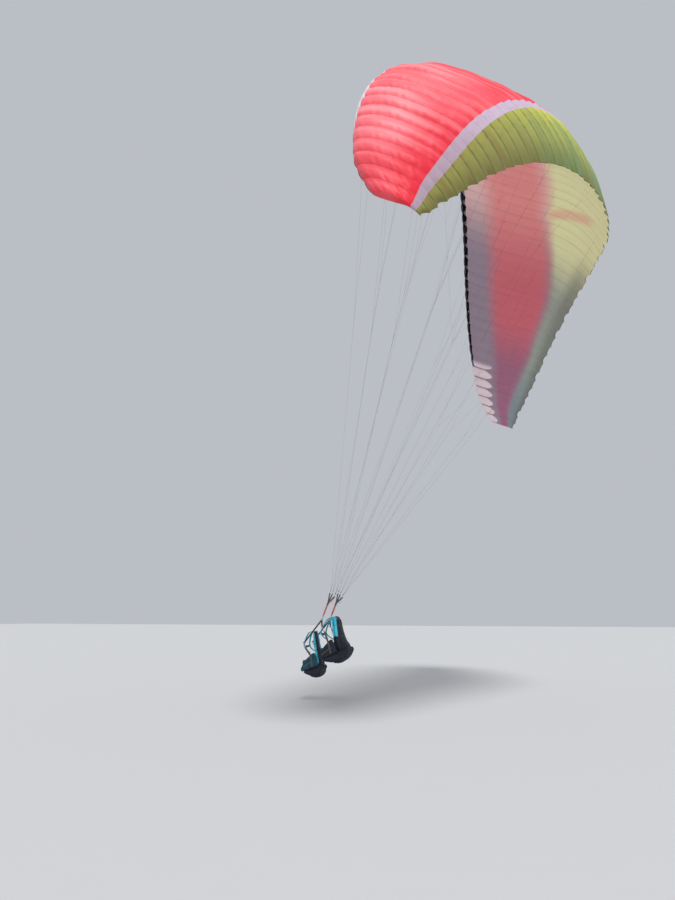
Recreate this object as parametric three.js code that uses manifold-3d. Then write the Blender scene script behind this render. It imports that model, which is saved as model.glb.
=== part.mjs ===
// A tandem paraglider: canopy, suspension lines, risers, spreader bars and two harnesses.
// Millimetres. +X is the flight direction, +Y the pilot's left, +Z up.
// The origin is on the canopy's lower skin, at its centre rib, where the air carries it.
import * as THREE from "three";
import { mergeVertices } from "three/addons/utils/BufferGeometryUtils.js";
import Module from "manifold-3d";

const wasm = await Module();
wasm.setup();

// Canopy
const FLAT_SPAN = 15120;        // along the arc, tip to tip
const ROOT_CHORD = 3795;
const TIP_CHORD_SHARE = 0.17;   // tip chord over root chord
const PLAN_FULLNESS = 1.154;    // how late along the span the chord narrows
const PLAN_BLEND = 0.127;       // rounds the outline over the centre
const ARC_TIP_SLOPE = 70.8;     // degrees, slope of the arc at the tip
const SWEEP = 1455;             // how far back the tip's nose lies
const SWEEP_POWER = 3.61;
const NOSE_AHEAD = 1138;        // nose of the centre rib ahead of the hang points
const INCIDENCE = 8.2;          // degrees
const TWIST_POINT = 0.3;        // chord share about which a section is set
const LINE_HEIGHT = 9850;       // hang points to the centre section's chord line
const LEAN_BACK = 22.2;         // degrees, the wing behind the riders as it rises
const THICKNESS = 0.155;        // of the chord
const CAMBER = 0.03;
const CAMBER_AT = 0.3;
const BRAKE_DROP = 0.196;       // trailing edge pulled down, share of chord
const BRAKE_FROM = 0.62;
const BRAKE_EASE = 0.16;        // of the drop, less of it halfway along each half
const TIP_ROUND_FROM = 0.92;    // share of the half span where the tip's outline rounds off
const TIP_ROUND = 190;          // how far the nose is drawn back at the tip
const CELLS = 27;               // in each half
const CELL_TAPER = 0.1;         // makes the cells narrower towards the tips
const OPEN_CELLS = 21;          // of those, the ones with an intake
const SKIN = 5;                 // skin thickness of the solids
const EDGE_HALF = 4;            // half thickness at the trailing edge
const SEAM = 0.3;               // gap between neighbouring solids
const INTAKE_TOP = 0.008;       // chord shares on the lower side: the intake lies between
const INTAKE_BOTTOM = 0.055;
const RIB = 4;
const SQUARE_TO = 0.15;         // chord shares between which the skins' depth turns from square to upright
const STRAIGHT_FROM = 0.5;
const SECTION_RIB = 9;          // the centre section ends at this rib

// Colour bands of the upper skin: chord share of the edge at the centre and at the tip
const STRIPE_FRONT = [0.671, 0.779];
const STRIPE_REAR = [0.707, 0.882];

// Lines: row, chord share at the canopy, riser end (x, z from the hang point), rib of each pair
const LINE_ROWS = [
  { row: "a", at: 0.10, riser: [34, 520] },
  { row: "b", at: 0.34, riser: [-14, 520] },
  { row: "c", at: 0.62, riser: [-74, 498] },
];
const MAIN_RIBS = [[2, 6], [10, 14], [18, 23]];  // each main line carries the canopy at two ribs
const BRAKE_RIBS = [4, 11, 18, 24];
const CASCADE_AT = 0.66;        // share of the line's length below the fork
const MAIN_LINE = 2.2;          // widths
const UPPER_LINE = 1.5;
const LINE_SEAT = 0.9;          // a line's end below the skin

// Hang points, risers and spreaders: places are x and z from the hang points
const HANG_HALF = 235;          // hang points from the centre plane
const RISER_WIDTH = 34;         // fore and aft
const RISER_THICK = 7;
const RISER_FORK = 350;
const LINK_HALF = [9, 17];      // quick link: half width and half height of its outline
const BAR = 10;                 // carabiner bar diameter
const CARABINER_WIDTH = 36;     // between bar centrelines
const CARABINER_HEIGHT = 82;
const CORNER = 11;              // its corner radius
const SPREADER_PLATE = 12;
const SPREADER_BOSS = 19;
const EYE = 5.6;
const FRONT_EYE = [350, -420];
const REAR_EYE = [-10, -125];

// Harnesses, each in its own seated frame: x forward and z up from its hang axis.
// lean: nose down, as worn while running; corner: where seat and back meet
const HARNESSES = [
  {
    name: "pilot", hang: REAR_EYE, lean: 25, corner: [-50, -485], seatDepth: 350, width: 400,
    backHeight: 590, recline: 16, container: 245, airbag: 205, rear: -0.63, colour: 0x191a1d, side: 0x31b4cf,
  },
  {
    name: "passenger", hang: FRONT_EYE, lean: 20, corner: [-100, -440], seatDepth: 330, width: 380,
    backHeight: 590, recline: 10, container: 0, airbag: 200, rear: -0.14, colour: 0x1b1d20, side: 0x1d8a93,
  },
];

// Container behind the back, above its flat sole: height on the back pad, half width and thickness, as shares
const CONTAINER_SOLE = { half: 0.42, thick: 0.80 };
const CONTAINER_ROWS = [
  { rise: 0.12, half: 0.45, thick: 0.78 },
  { rise: 0.25, half: 0.46, thick: 0.60 },
  { rise: 0.43, half: 0.46, thick: 0.47 },
  { rise: 0.67, half: 0.43, thick: 0.40 },
  { rise: 0.90, half: 0.39, thick: 0.37 },
  { rise: 1.03, half: 0.29, thick: 0.20 },
];
// Airbag under the seat, rear to front: place between its ends, and thickness, as shares
const AIRBAG_ROWS = [
  { at: 0, thick: 0.36 }, { at: 0.06, thick: 0.52 }, { at: 0.17, thick: 0.78 }, { at: 0.35, thick: 0.95 },
  { at: 0.57, thick: 0.93 }, { at: 0.79, thick: 0.56 }, { at: 1, thick: 0.22 },
];
const AIRBAG_FRONT = 0.92;      // share of the seat's depth where the airbag ends

const DEG = Math.PI / 180;
const V = (x, y, z) => new THREE.Vector3(x, y, z);

const colours = {
  red: 0xe23a4e, stripe: 0xd9d0e0, green: 0x98a040, lower: 0xc9c2d2,
  line: 0x6d6f74, webbing: 0x1a1a1c, metal: 0xa9adb2, redWebbing: 0xb92f3a,
};
const cloth = (color) => new THREE.MeshStandardMaterial({ color, roughness: 0.75, metalness: 0 });
const metal = (color) => new THREE.MeshStandardMaterial({ color, roughness: 0.35, metalness: 0.9 });

// Joining
function solidOf(geometry) {
  const bare = geometry.clone();
  bare.deleteAttribute("normal");
  bare.deleteAttribute("uv");
  const merged = mergeVertices(bare, 1e-4);
  return new wasm.Manifold(new wasm.Mesh({
    numProp: 3,
    vertProperties: new Float32Array(merged.attributes.position.array),
    triVerts: new Uint32Array(merged.index.array),
  }));
}

function geometryOf(solid) {
  const mesh = solid.getMesh();
  const geometry = new THREE.BufferGeometry();
  geometry.setAttribute("position", new THREE.BufferAttribute(new Float32Array(mesh.vertProperties), 3));
  geometry.setIndex([...mesh.triVerts]);
  return geometry;
}

function joined(geometries) {
  return geometryOf(geometries.map(solidOf).reduce((all, next) => all.add(next)));
}

// A closed body through a row of rings, each ring convex enough to be capped by a fan
function loft(rings) {
  const count = rings[0].length;
  const points = rings.flat();
  const faces = [];
  for (let i = 0; i < rings.length - 1; i++) {
    for (let j = 0; j < count; j++) {
      const k = (j + 1) % count;
      const [a, b, c, d] = [i * count + j, i * count + k, (i + 1) * count + k, (i + 1) * count + j];
      faces.push(a, b, c, a, c, d);
    }
  }
  const last = (rings.length - 1) * count;
  for (let j = 1; j < count - 1; j++) {
    faces.push(0, j + 1, j, last, last + j, last + j + 1);
  }
  return bodyOf(points, faces);
}

// Indexed faces as a geometry, turned so that the faces point out
function bodyOf(points, faces) {
  let volume = 0;
  for (let i = 0; i < faces.length; i += 3) {
    const [a, b, c] = [points[faces[i]], points[faces[i + 1]], points[faces[i + 2]]];
    volume += a.dot(b.clone().cross(c));
  }
  if (volume < 0) {
    for (let i = 0; i < faces.length; i += 3) {
      [faces[i + 1], faces[i + 2]] = [faces[i + 2], faces[i + 1]];
    }
  }
  const geometry = new THREE.BufferGeometry().setFromPoints(points);
  geometry.setIndex(faces);
  return geometry;
}

// A shell between an outer and an inner grid of points, both [row][column]
function shell(outer, inner) {
  const rows = outer.length;
  const columns = outer[0].length;
  const points = [...outer.flat(), ...inner.flat()];
  const half = rows * columns;
  const faces = [];
  const quad = (a, b, c, d) => faces.push(a, b, c, a, c, d);
  const at = (i, j) => i * columns + j;
  for (let i = 0; i < rows - 1; i++) {
    for (let j = 0; j < columns - 1; j++) {
      quad(at(i, j), at(i + 1, j), at(i + 1, j + 1), at(i, j + 1));
      quad(half + at(i, j), half + at(i, j + 1), half + at(i + 1, j + 1), half + at(i + 1, j));
    }
  }
  const rim = (a, b) => quad(a, b, half + b, half + a);
  for (let i = 0; i < rows - 1; i++) {
    rim(at(i + 1, 0), at(i, 0));
    rim(at(i, columns - 1), at(i + 1, columns - 1));
  }
  for (let j = 0; j < columns - 1; j++) {
    rim(at(0, j), at(0, j + 1));
    rim(at(rows - 1, j + 1), at(rows - 1, j));
  }
  return bodyOf(points, faces);
}

// A quick link: an oval ring of bar that a riser ends in and a row of lines hangs from
function quickLink(centre) {
  const [half, tall] = LINK_HALF;
  const link = new THREE.Shape().absellipse(0, 0, half, tall, 0, Math.PI * 2, false, 0);
  link.holes.push(new THREE.Path().absellipse(0, 0, half - 4, tall - 4, 0, Math.PI * 2, true, 0));
  return new THREE.ExtrudeGeometry(link, { depth: 4, bevelEnabled: false, curveSegments: 5 })
    .translate(0, 0, -2).rotateX(Math.PI / 2).translate(centre.x, centre.y, centre.z);
}

// Webbing along a row of points: its width lies along "across"
function webbing(points, width, thick, across) {
  const side = across.clone().normalize().multiplyScalar(width / 2);
  const rings = points.map((point, i) => {
    const before = points[Math.max(i - 1, 0)];
    const after = points[Math.min(i + 1, points.length - 1)];
    const normal = after.clone().sub(before).cross(side).normalize().multiplyScalar(thick / 2);
    return [[1, 1], [-1, 1], [-1, -1], [1, -1]].map(([s, n]) =>
      point.clone().addScaledVector(side, s).addScaledVector(normal, n));
  });
  return loft(rings);
}

// A box from its low and high corners
function block(low, high) {
  const size = high.map((value, i) => value - low[i]);
  return new THREE.BoxGeometry(...size).translate(...high.map((value, i) => (value + low[i]) / 2));
}

// The section: t runs from -1 at the trailing edge along the lower side to +1 along the upper side
function sectionPoint(t, { chord, brake }) {
  const x = t * t;
  const half = 5 * THICKNESS * (0.2969 * Math.abs(t) - 0.126 * x - 0.3516 * x ** 2 + 0.2843 * x ** 3
    - 0.1036 * x ** 4) + x * EDGE_HALF / chord;
  const mean = x < CAMBER_AT
    ? CAMBER / CAMBER_AT ** 2 * (2 * CAMBER_AT * x - x * x)
    : CAMBER / (1 - CAMBER_AT) ** 2 * ((1 - 2 * CAMBER_AT) + 2 * CAMBER_AT * x - x * x);
  const drop = brake * Math.max(0, (x - BRAKE_FROM) / (1 - BRAKE_FROM)) ** 2;
  return { x, z: mean + Math.sign(t) * half - drop, half };
}

// How far the chord has narrowed at a share of the half span: 0 at the centre, 1 at the tip
function narrowing(reach) {
  const power = (r) => (r * r + PLAN_BLEND ** 2) ** (PLAN_FULLNESS / 2) - PLAN_BLEND ** PLAN_FULLNESS;
  return power(reach) / power(1);
}

// Share of the half span at which a rib stands
function ribEta(rib) {
  const count = Math.abs(rib) / CELLS;
  return Math.sign(rib) * (count * (1 + CELL_TAPER) - CELL_TAPER * count ** 5);
}

// Where a span station lies: the arc's slope grows evenly to the tip
function station(eta) {
  const reach = Math.abs(eta);
  const slope = ARC_TIP_SLOPE * DEG * reach;
  const radius = FLAT_SPAN / 2 / (ARC_TIP_SLOPE * DEG);
  const rounding = Math.max(0, (reach - TIP_ROUND_FROM) / (1 - TIP_ROUND_FROM));
  return {
    chord: ROOT_CHORD * Math.sqrt(1 - (1 - TIP_CHORD_SHARE ** 2) * narrowing(reach)),
    nose: NOSE_AHEAD - SWEEP * reach ** SWEEP_POWER - TIP_ROUND * rounding ** 2,
    brake: BRAKE_DROP * (1 - BRAKE_EASE * Math.sin(Math.PI * reach)),
    slope: slope * Math.sign(eta),
    y: radius * Math.sin(slope) * Math.sign(eta), z: LINE_HEIGHT - radius * (1 - Math.cos(slope)),
  };
}

// A point of the canopy, "depth" inside its outer surface: square to the skin at the nose and straight
// down or up further back, so that the two skins keep step where they close at the trailing edge
function canopyPoint(eta, t, depth = 0) {
  const at = station(eta);
  const step = 1e-3;
  const here = sectionPoint(t, at);
  const low = sectionPoint(t - step, at);
  const high = sectionPoint(t + step, at);
  const length = Math.hypot(high.x - low.x, high.z - low.z);
  const square = 1 - THREE.MathUtils.smoothstep(here.x, SQUARE_TO, STRAIGHT_FROM);
  const inward = {
    x: square * (high.z - low.z) / length,
    z: -square * (high.x - low.x) / length - (1 - square) * Math.sign(t),
  };
  const back = here.x * at.chord + inward.x * depth;
  const rise = here.z * at.chord + inward.z * depth;
  const set = INCIDENCE * DEG;
  const fromPivot = TWIST_POINT * at.chord - back;
  const x = at.nose - TWIST_POINT * at.chord + fromPivot * Math.cos(set) - rise * Math.sin(set);
  const up = fromPivot * Math.sin(set) + rise * Math.cos(set);
  return V(x, at.y + up * Math.sin(at.slope), at.z + up * Math.cos(at.slope));
}

// How deep a skin may be at t, so that the two skins keep apart at the trailing edge
function skinDepth(eta, t) {
  const at = station(eta);
  return Math.min(SKIN, sectionPoint(t, at).half * at.chord - SEAM);
}

// A skin panel: columns along the span, rows along the section
function panel(etas, rowsAt) {
  const grid = (inside) => rowsAt(0).map((_, i) => etas.map((eta) => {
    const t = rowsAt(eta)[i];
    return canopyPoint(eta, t, inside ? skinDepth(eta, t) : 0);
  }));
  return shell(grid(false), grid(true));
}

// Where the skins have their rows, front to rear, as values of t
const bandEdge = ([centre, tip], eta) => Math.sqrt(centre + (tip - centre) * eta * eta);
const spread = (from, to, rows) => Array.from({ length: rows + 1 }, (_, i) => from + (to - from) * i / rows);
const seam = (eta) => SEAM / 2 / station(eta).chord;
const UPPER_BANDS = {
  front: (eta) => spread(-Math.sqrt(INTAKE_TOP), bandEdge(STRIPE_FRONT, eta) - seam(eta), 9),
  stripe: (eta) => spread(bandEdge(STRIPE_FRONT, eta) + seam(eta), bandEdge(STRIPE_REAR, eta) - seam(eta), 1),
  rear: (eta) => spread(bandEdge(STRIPE_REAR, eta) + seam(eta), 1, 4),
};
const isOpen = (eta) => Math.abs(eta) < ribEta(OPEN_CELLS + 0.5);
const lowerBand = (eta) => [
  Math.sqrt(isOpen(eta) ? INTAKE_BOTTOM : INTAKE_TOP + 0.001),
  Math.sqrt(LINE_ROWS[0].at), 0.46, Math.sqrt(LINE_ROWS[1].at), 0.69, Math.sqrt(LINE_ROWS[2].at),
  ...UPPER_BANDS.rear(eta),
].map((t) => -t);

// A rib's outline between the skins: along the inside of the upper one and in the middle of the lower one
const ribOutline = (eta, upper, lower) => [
  ...upper.map((t) => canopyPoint(eta, t, skinDepth(eta, t) + SEAM)),
  ...lower.map((t) => canopyPoint(eta, t, skinDepth(eta, t) / 2)).reverse(),
];

// A plate between two outlines
function plate(first, second, slope) {
  const flat = first.map((point) => new THREE.Vector2(point.x, point.z / Math.cos(slope)));
  const count = first.length;
  const faces = THREE.ShapeUtils.triangulateShape(flat, [])
    .flatMap(([a, b, c]) => [a, b, c, count + a, count + c, count + b]);
  const turned = THREE.ShapeUtils.isClockWise(flat);
  for (let i = 0; i < count; i++) {
    const j = (i + 1) % count;
    if (turned) {
      faces.push(i, j, count + j, i, count + j, count + i);
    } else {
      faces.push(i, count + j, j, i, count + i, count + j);
    }
  }
  return bodyOf([...first, ...second], faces);
}

const wing = new THREE.Group();      // leans back from the hang points
wing.rotation.y = -LEAN_BACK * DEG;
const cradle = new THREE.Group();    // hangs upright
const craft = new THREE.Group();
craft.add(wing, cradle);

function place(group, name, geometry, material) {
  const mesh = new THREE.Mesh(geometry, material);
  mesh.name = name;
  group.add(mesh);
}

// Canopy: three sections of the span, four nodes in each
const SECTIONS = [
  { name: "right", from: -CELLS, to: -SECTION_RIB },
  { name: "centre", from: -SECTION_RIB, to: SECTION_RIB },
  { name: "left", from: SECTION_RIB, to: CELLS },
];
const GAP = SEAM / FLAT_SPAN;
const NOSE_ROWS = 6;

for (const section of SECTIONS) {
  const etas = [];
  for (let rib = section.from; rib <= section.to; rib++) {
    etas.push(ribEta(rib));
  }
  const last = etas.length - 1;
  etas[0] += section.from > -CELLS ? GAP : 0;
  etas[last] -= section.to < CELLS ? GAP : 0;
  for (const [band, color] of [["front", colours.red], ["stripe", colours.stripe], ["rear", colours.green]]) {
    place(wing, `upper_${band}_${section.name}`, panel(etas, UPPER_BANDS[band]), cloth(color));
  }

  // Nose ribs stand in the open cells, and a whole rib closes each tip
  const ribs = etas.flatMap((eta, i) => {
    const tip = Math.abs(eta) > 1 - GAP;
    if (!isOpen(eta) && !tip) {
      return [];
    }
    const outlineAt = (column) => {
      const upper = Object.values(UPPER_BANDS).flatMap((rowsAt) => rowsAt(etas[column]));
      const lower = lowerBand(etas[column]);
      return tip
        ? ribOutline(etas[column], upper.slice(0, -1), lower.slice(0, -1))
        : ribOutline(etas[column], upper.slice(0, NOSE_ROWS), lower.slice(0, 2));
    };
    const side = (column, offset) => {
      const next = outlineAt(column);
      const width = Math.abs(etas[column] - eta) * FLAT_SPAN / 2;
      return outlineAt(i).map((point, k) => point.lerp(next[k], offset / width));
    };
    const faces = i === 0 ? [side(1, RIB / 8), side(1, RIB * 9 / 8)]
      : i === last ? [side(last - 1, RIB / 8), side(last - 1, RIB * 9 / 8)]
        : [side(i - 1, RIB / 2), side(i + 1, RIB / 2)];
    return [plate(...faces, station(eta).slope)];
  });
  place(wing, `lower_skin_${section.name}`, joined([panel(etas, lowerBand), ...ribs]), cloth(colours.lower));
}

// Lines of each row: a main line, its fork and two upper lines, all on the riser's quick link
function canopySeat(eta, t) {
  const surface = canopyPoint(eta, t);
  const outward = surface.clone().sub(canopyPoint(eta, t, 1));
  return surface.addScaledVector(outward, LINE_SEAT);
}

// Lines that branch: a sewn base, main lines from it, a splice on each and the upper lines above it.
// Every stage starts on its own field of a splice's top, so the whole is one clean surface.
const SPLICE = 4.4;
const LINE_PITCH = 3.4;
const NECK = 9;                 // over which a line narrows to its own size

function lineTree(base, along, spread, branches) {
  const points = [];
  const faces = [];
  const quad = (a, b, c, d) => faces.push(a, b, c, a, c, d);
  const add = (point) => points.push(point) - 1;
  const square = (at, dir, wide, width, depth) => {
    const side = wide.clone().addScaledVector(dir, -wide.dot(dir)).normalize();
    const out = dir.clone().cross(side);
    return [[-1, 1], [1, 1], [1, -1], [-1, -1]].map(([w, d]) =>
      add(at.clone().addScaledVector(side, w * width / 2).addScaledVector(out, d * depth / 2)));
  };
  const tube = (from, to) => from.forEach((p, k) => quad(p, from[(k + 1) % 4], to[(k + 1) % 4], to[k]));
  // From a square to the fields of a splice's top; returns each field's corners
  const fields = ([fl, fr, br, bl], at, dir, wide, count) => {
    const side = wide.clone().addScaledVector(dir, -wide.dot(dir)).normalize();
    const out = dir.clone().cross(side);
    const row = (d) => Array.from({ length: count + 1 }, (_, j) => add(at.clone()
      .addScaledVector(side, (j - count / 2) * LINE_PITCH).addScaledVector(out, d * SPLICE / 2)));
    const [front, back] = [row(1), row(-1)];
    faces.push(fl, fr, front[count], br, bl, back[0]);
    for (let j = 0; j < count; j++) {
      faces.push(fl, front[j + 1], front[j], br, back[j], back[j + 1]);
    }
    quad(fr, br, back[count], front[count]);
    quad(bl, fl, front[0], back[0]);
    return front.slice(0, -1).map((_, j) => [front[j], front[j + 1], back[j + 1], back[j]]);
  };
  const middleOf = (field) => field.reduce((sum, k) => sum.add(points[k]), V(0, 0, 0)).divideScalar(4);
  // A line from a field to a point, as a square tube that narrows just above the field
  const line = (field, to, wide, size, stop) => {
    const from = middleOf(field);
    const dir = to.clone().sub(from).normalize();
    const low = square(from.clone().addScaledVector(dir, NECK), dir, wide, size, size);
    const high = square(to.clone().addScaledVector(dir, -stop), dir, wide, size, size);
    tube(field, low);
    tube(low, high);
    return { high, dir };
  };

  const foot = square(base, along, spread, branches.length * LINE_PITCH, SPLICE);
  quad(foot[0], foot[3], foot[2], foot[1]);
  fields(foot, base.clone().addScaledVector(along, SPLICE), along, spread, branches.length)
    .forEach((field, i) => {
      const { knot, wide, seats } = branches[i];
      const main = line(field, knot, wide, MAIN_LINE, NECK);
      fields(main.high, knot, main.dir, wide, seats.length).forEach((seatField, j) => {
        const { high } = line(seatField, seats[j], wide, UPPER_LINE, 0);
        quad(...high);
      });
    });
  return bodyOf(points, faces);
}

// Where a main line that carries these seats is spliced
function branchTo(base, seats) {
  const middle = seats.reduce((sum, seat) => sum.add(seat), V(0, 0, 0)).divideScalar(seats.length);
  const wide = seats[seats.length - 1].clone().sub(seats[0]).normalize();
  return { knot: base.clone().lerp(middle, CASCADE_AT), wide, seats };
}

for (const [sideName, side] of [["left", 1], ["right", -1]]) {
  const y = side * HANG_HALF;
  for (const { row, at, riser } of LINE_ROWS) {
    const base = V(riser[0], y, riser[1] + LINK_HALF[1] * 2 + SEAM);
    const branches = MAIN_RIBS.map((ribs) =>
      branchTo(base, ribs.map((rib) => canopySeat(side * ribEta(rib), -Math.sqrt(at)))));
    place(wing, `lines_${row}_${sideName}`, lineTree(base, V(0, 0, 1), V(0, side, 0), branches), cloth(colours.line));
  }
}

// Brake lines run from the handle on the rear riser to the trailing edge
const GRIP_BAR = 9;
const STRAP_WIDTH = RISER_WIDTH - 10;
const BRAKE_CLIP = V(-50, HANG_HALF + RISER_THICK / 2 + GRIP_BAR / 2 + SEAM, 448);
for (const [sideName, side] of [["left", 1], ["right", -1]]) {
  const seats = BRAKE_RIBS.map(ribEta).map((eta) => canopySeat(side * eta, -UPPER_BANDS.rear(eta)[3]));
  const start = BRAKE_CLIP.clone().setY(side * BRAKE_CLIP.y);
  place(wing, `brake_lines_${sideName}`, lineTree(start, V(0, 0, 1), V(0, side, 0), [branchTo(start, seats)]),
    cloth(colours.line));
}

// A ring of round bar through a closed row of centre points in a plane square to the axis
function ring(path, diameter, axis, sides = 6) {
  const points = [];
  const faces = [];
  path.forEach((point, i) => {
    const ahead = path[(i + 1) % path.length].clone().sub(path[(i + path.length - 1) % path.length]);
    const out = ahead.normalize().cross(axis);
    for (let j = 0; j < sides; j++) {
      const angle = Math.PI * 2 * j / sides;
      points.push(point.clone().addScaledVector(out, Math.cos(angle) * diameter / 2)
        .addScaledVector(axis, Math.sin(angle) * diameter / 2));
      const [k, m] = [(i + 1) % path.length, (j + 1) % sides];
      faces.push(i * sides + j, i * sides + m, k * sides + m, i * sides + j, k * sides + m, k * sides + j);
    }
  });
  return bodyOf(points, faces);
}

// A carabiner: a round-cornered ring between a lower bar at z = 0 and an upper bar
function carabiner(x, y, z) {
  const half = CARABINER_WIDTH / 2;
  const path = [];
  for (const [cy, cz, from] of [[1, 0, -90], [1, 1, 0], [-1, 1, 90], [-1, 0, 180]]) {
    for (const turn of [0, 45, 90]) {
      const angle = (from + turn) * DEG;
      path.push(V(x, y + cy * (half - CORNER) + CORNER * Math.cos(angle),
        z + (cz ? CARABINER_HEIGHT - CORNER : CORNER) + CORNER * Math.sin(angle)));
    }
  }
  return ring(path, BAR, V(1, 0, 0));
}

// A webbing loop around a carabiner's bar, which runs along Y
function webbingLoop(x, y, z) {
  const width = CARABINER_WIDTH - 2 * CORNER;
  const outline = new THREE.Shape().absarc(0, 0, EYE + 5, 0, Math.PI * 2, false);
  outline.holes.push(new THREE.Path().absarc(0, 0, EYE, 0, Math.PI * 2, true));
  return new THREE.ExtrudeGeometry(outline, { depth: width, bevelEnabled: false, curveSegments: 6 })
    .rotateX(Math.PI / 2).translate(x, y + width / 2, z);
}

for (const [sideName, side] of [["left", 1], ["right", -1]]) {
  const y = side * HANG_HALF;
  const across = V(0, 1, 0);
  place(wing, `main_carabiner_${sideName}`, carabiner(0, y, 0), metal(colours.metal));

  // Risers: three straps on each other up to the fork, then one to each row of lines; their flat sides face outwards
  const low = CARABINER_HEIGHT;
  const ahead = V(1, 0, 0);
  const straps = LINE_ROWS.map(({ riser }) => webbing(
    [V(0, y, RISER_FORK - 30), V(riser[0] * 0.25, y, RISER_FORK + 20), V(riser[0], y, riser[1] + 3)],
    STRAP_WIDTH, RISER_THICK, ahead));
  const trunk = webbing([V(0, y, low + EYE + 2), V(0, y, low + 40), V(0, y, RISER_FORK)],
    RISER_WIDTH, RISER_THICK * 1.8, ahead);
  place(wing, `risers_${sideName}`, joined([webbingLoop(0, y, low), trunk, ...straps,
    ...LINE_ROWS.map(({ riser }) => quickLink(V(riser[0], y, riser[1] + LINK_HALF[1])))]),
    cloth(colours.webbing));

  // Brake handle: a soft grip at the outer side of the rear riser
  const top = -GRIP_BAR / 2 - SEAM;
  const grip = ring([[-26, -60], [-26, -20], [-8, 0], [8, 0], [26, -20], [26, -60], [10, -72], [-10, -72]]
    .map(([dx, dz]) => V(BRAKE_CLIP.x + dx, side * BRAKE_CLIP.y, BRAKE_CLIP.z + top + dz)), GRIP_BAR, across);
  place(wing, `brake_handle_${sideName}`, grip, cloth(colours.redWebbing));

  // Spreader bar: an eye at the main carabiner and one for each harness
  const boss = ([x, z]) => new THREE.CylinderGeometry(SPREADER_BOSS, SPREADER_BOSS, SPREADER_PLATE, 16)
    .translate(x, y, z);
  const arm = ([x, z]) => webbing([V(0, y, 0), V(x, y, z)], SPREADER_PLATE - 1, 26, across);
  const hole = ([x, z]) => new THREE.CylinderGeometry(EYE, EYE, SPREADER_PLATE * 2, 16).translate(x, y, z);
  const eyes = [[0, 0], FRONT_EYE, REAR_EYE];
  const body = [...eyes.map(boss), arm(FRONT_EYE), arm(REAR_EYE)].map(solidOf).reduce((all, next) => all.add(next));
  const bar = eyes.map(hole).map(solidOf).reduce((rest, next) => rest.subtract(next), body);
  place(cradle, `spreader_${sideName}`, geometryOf(bar), metal(colours.webbing));
}

// A plate of the given outline in x and z, between two values of y
function slab(outline, y0, y1) {
  const shape = new THREE.Shape(outline.map(([x, z]) => new THREE.Vector2(x, z)));
  return new THREE.ExtrudeGeometry(shape, { depth: y1 - y0, bevelEnabled: false })
    .rotateX(Math.PI / 2).translate(0, y1, 0);
}

// A padded body along a row of stations: centre, half thickness along "out", half width along Y
function pad(stations) {
  return loft(stations.map(({ at, out, thick, width }) => [
    [1, 0.7], [0.78, 1], [-0.78, 1], [-1, 0.7], [-1, -0.7], [-0.78, -1], [0.78, -1], [1, -0.7],
  ].map(([w, t]) => V(at[0] + out[0] * thick * t, w * width, at[1] + out[1] * thick * t))));
}

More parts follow.
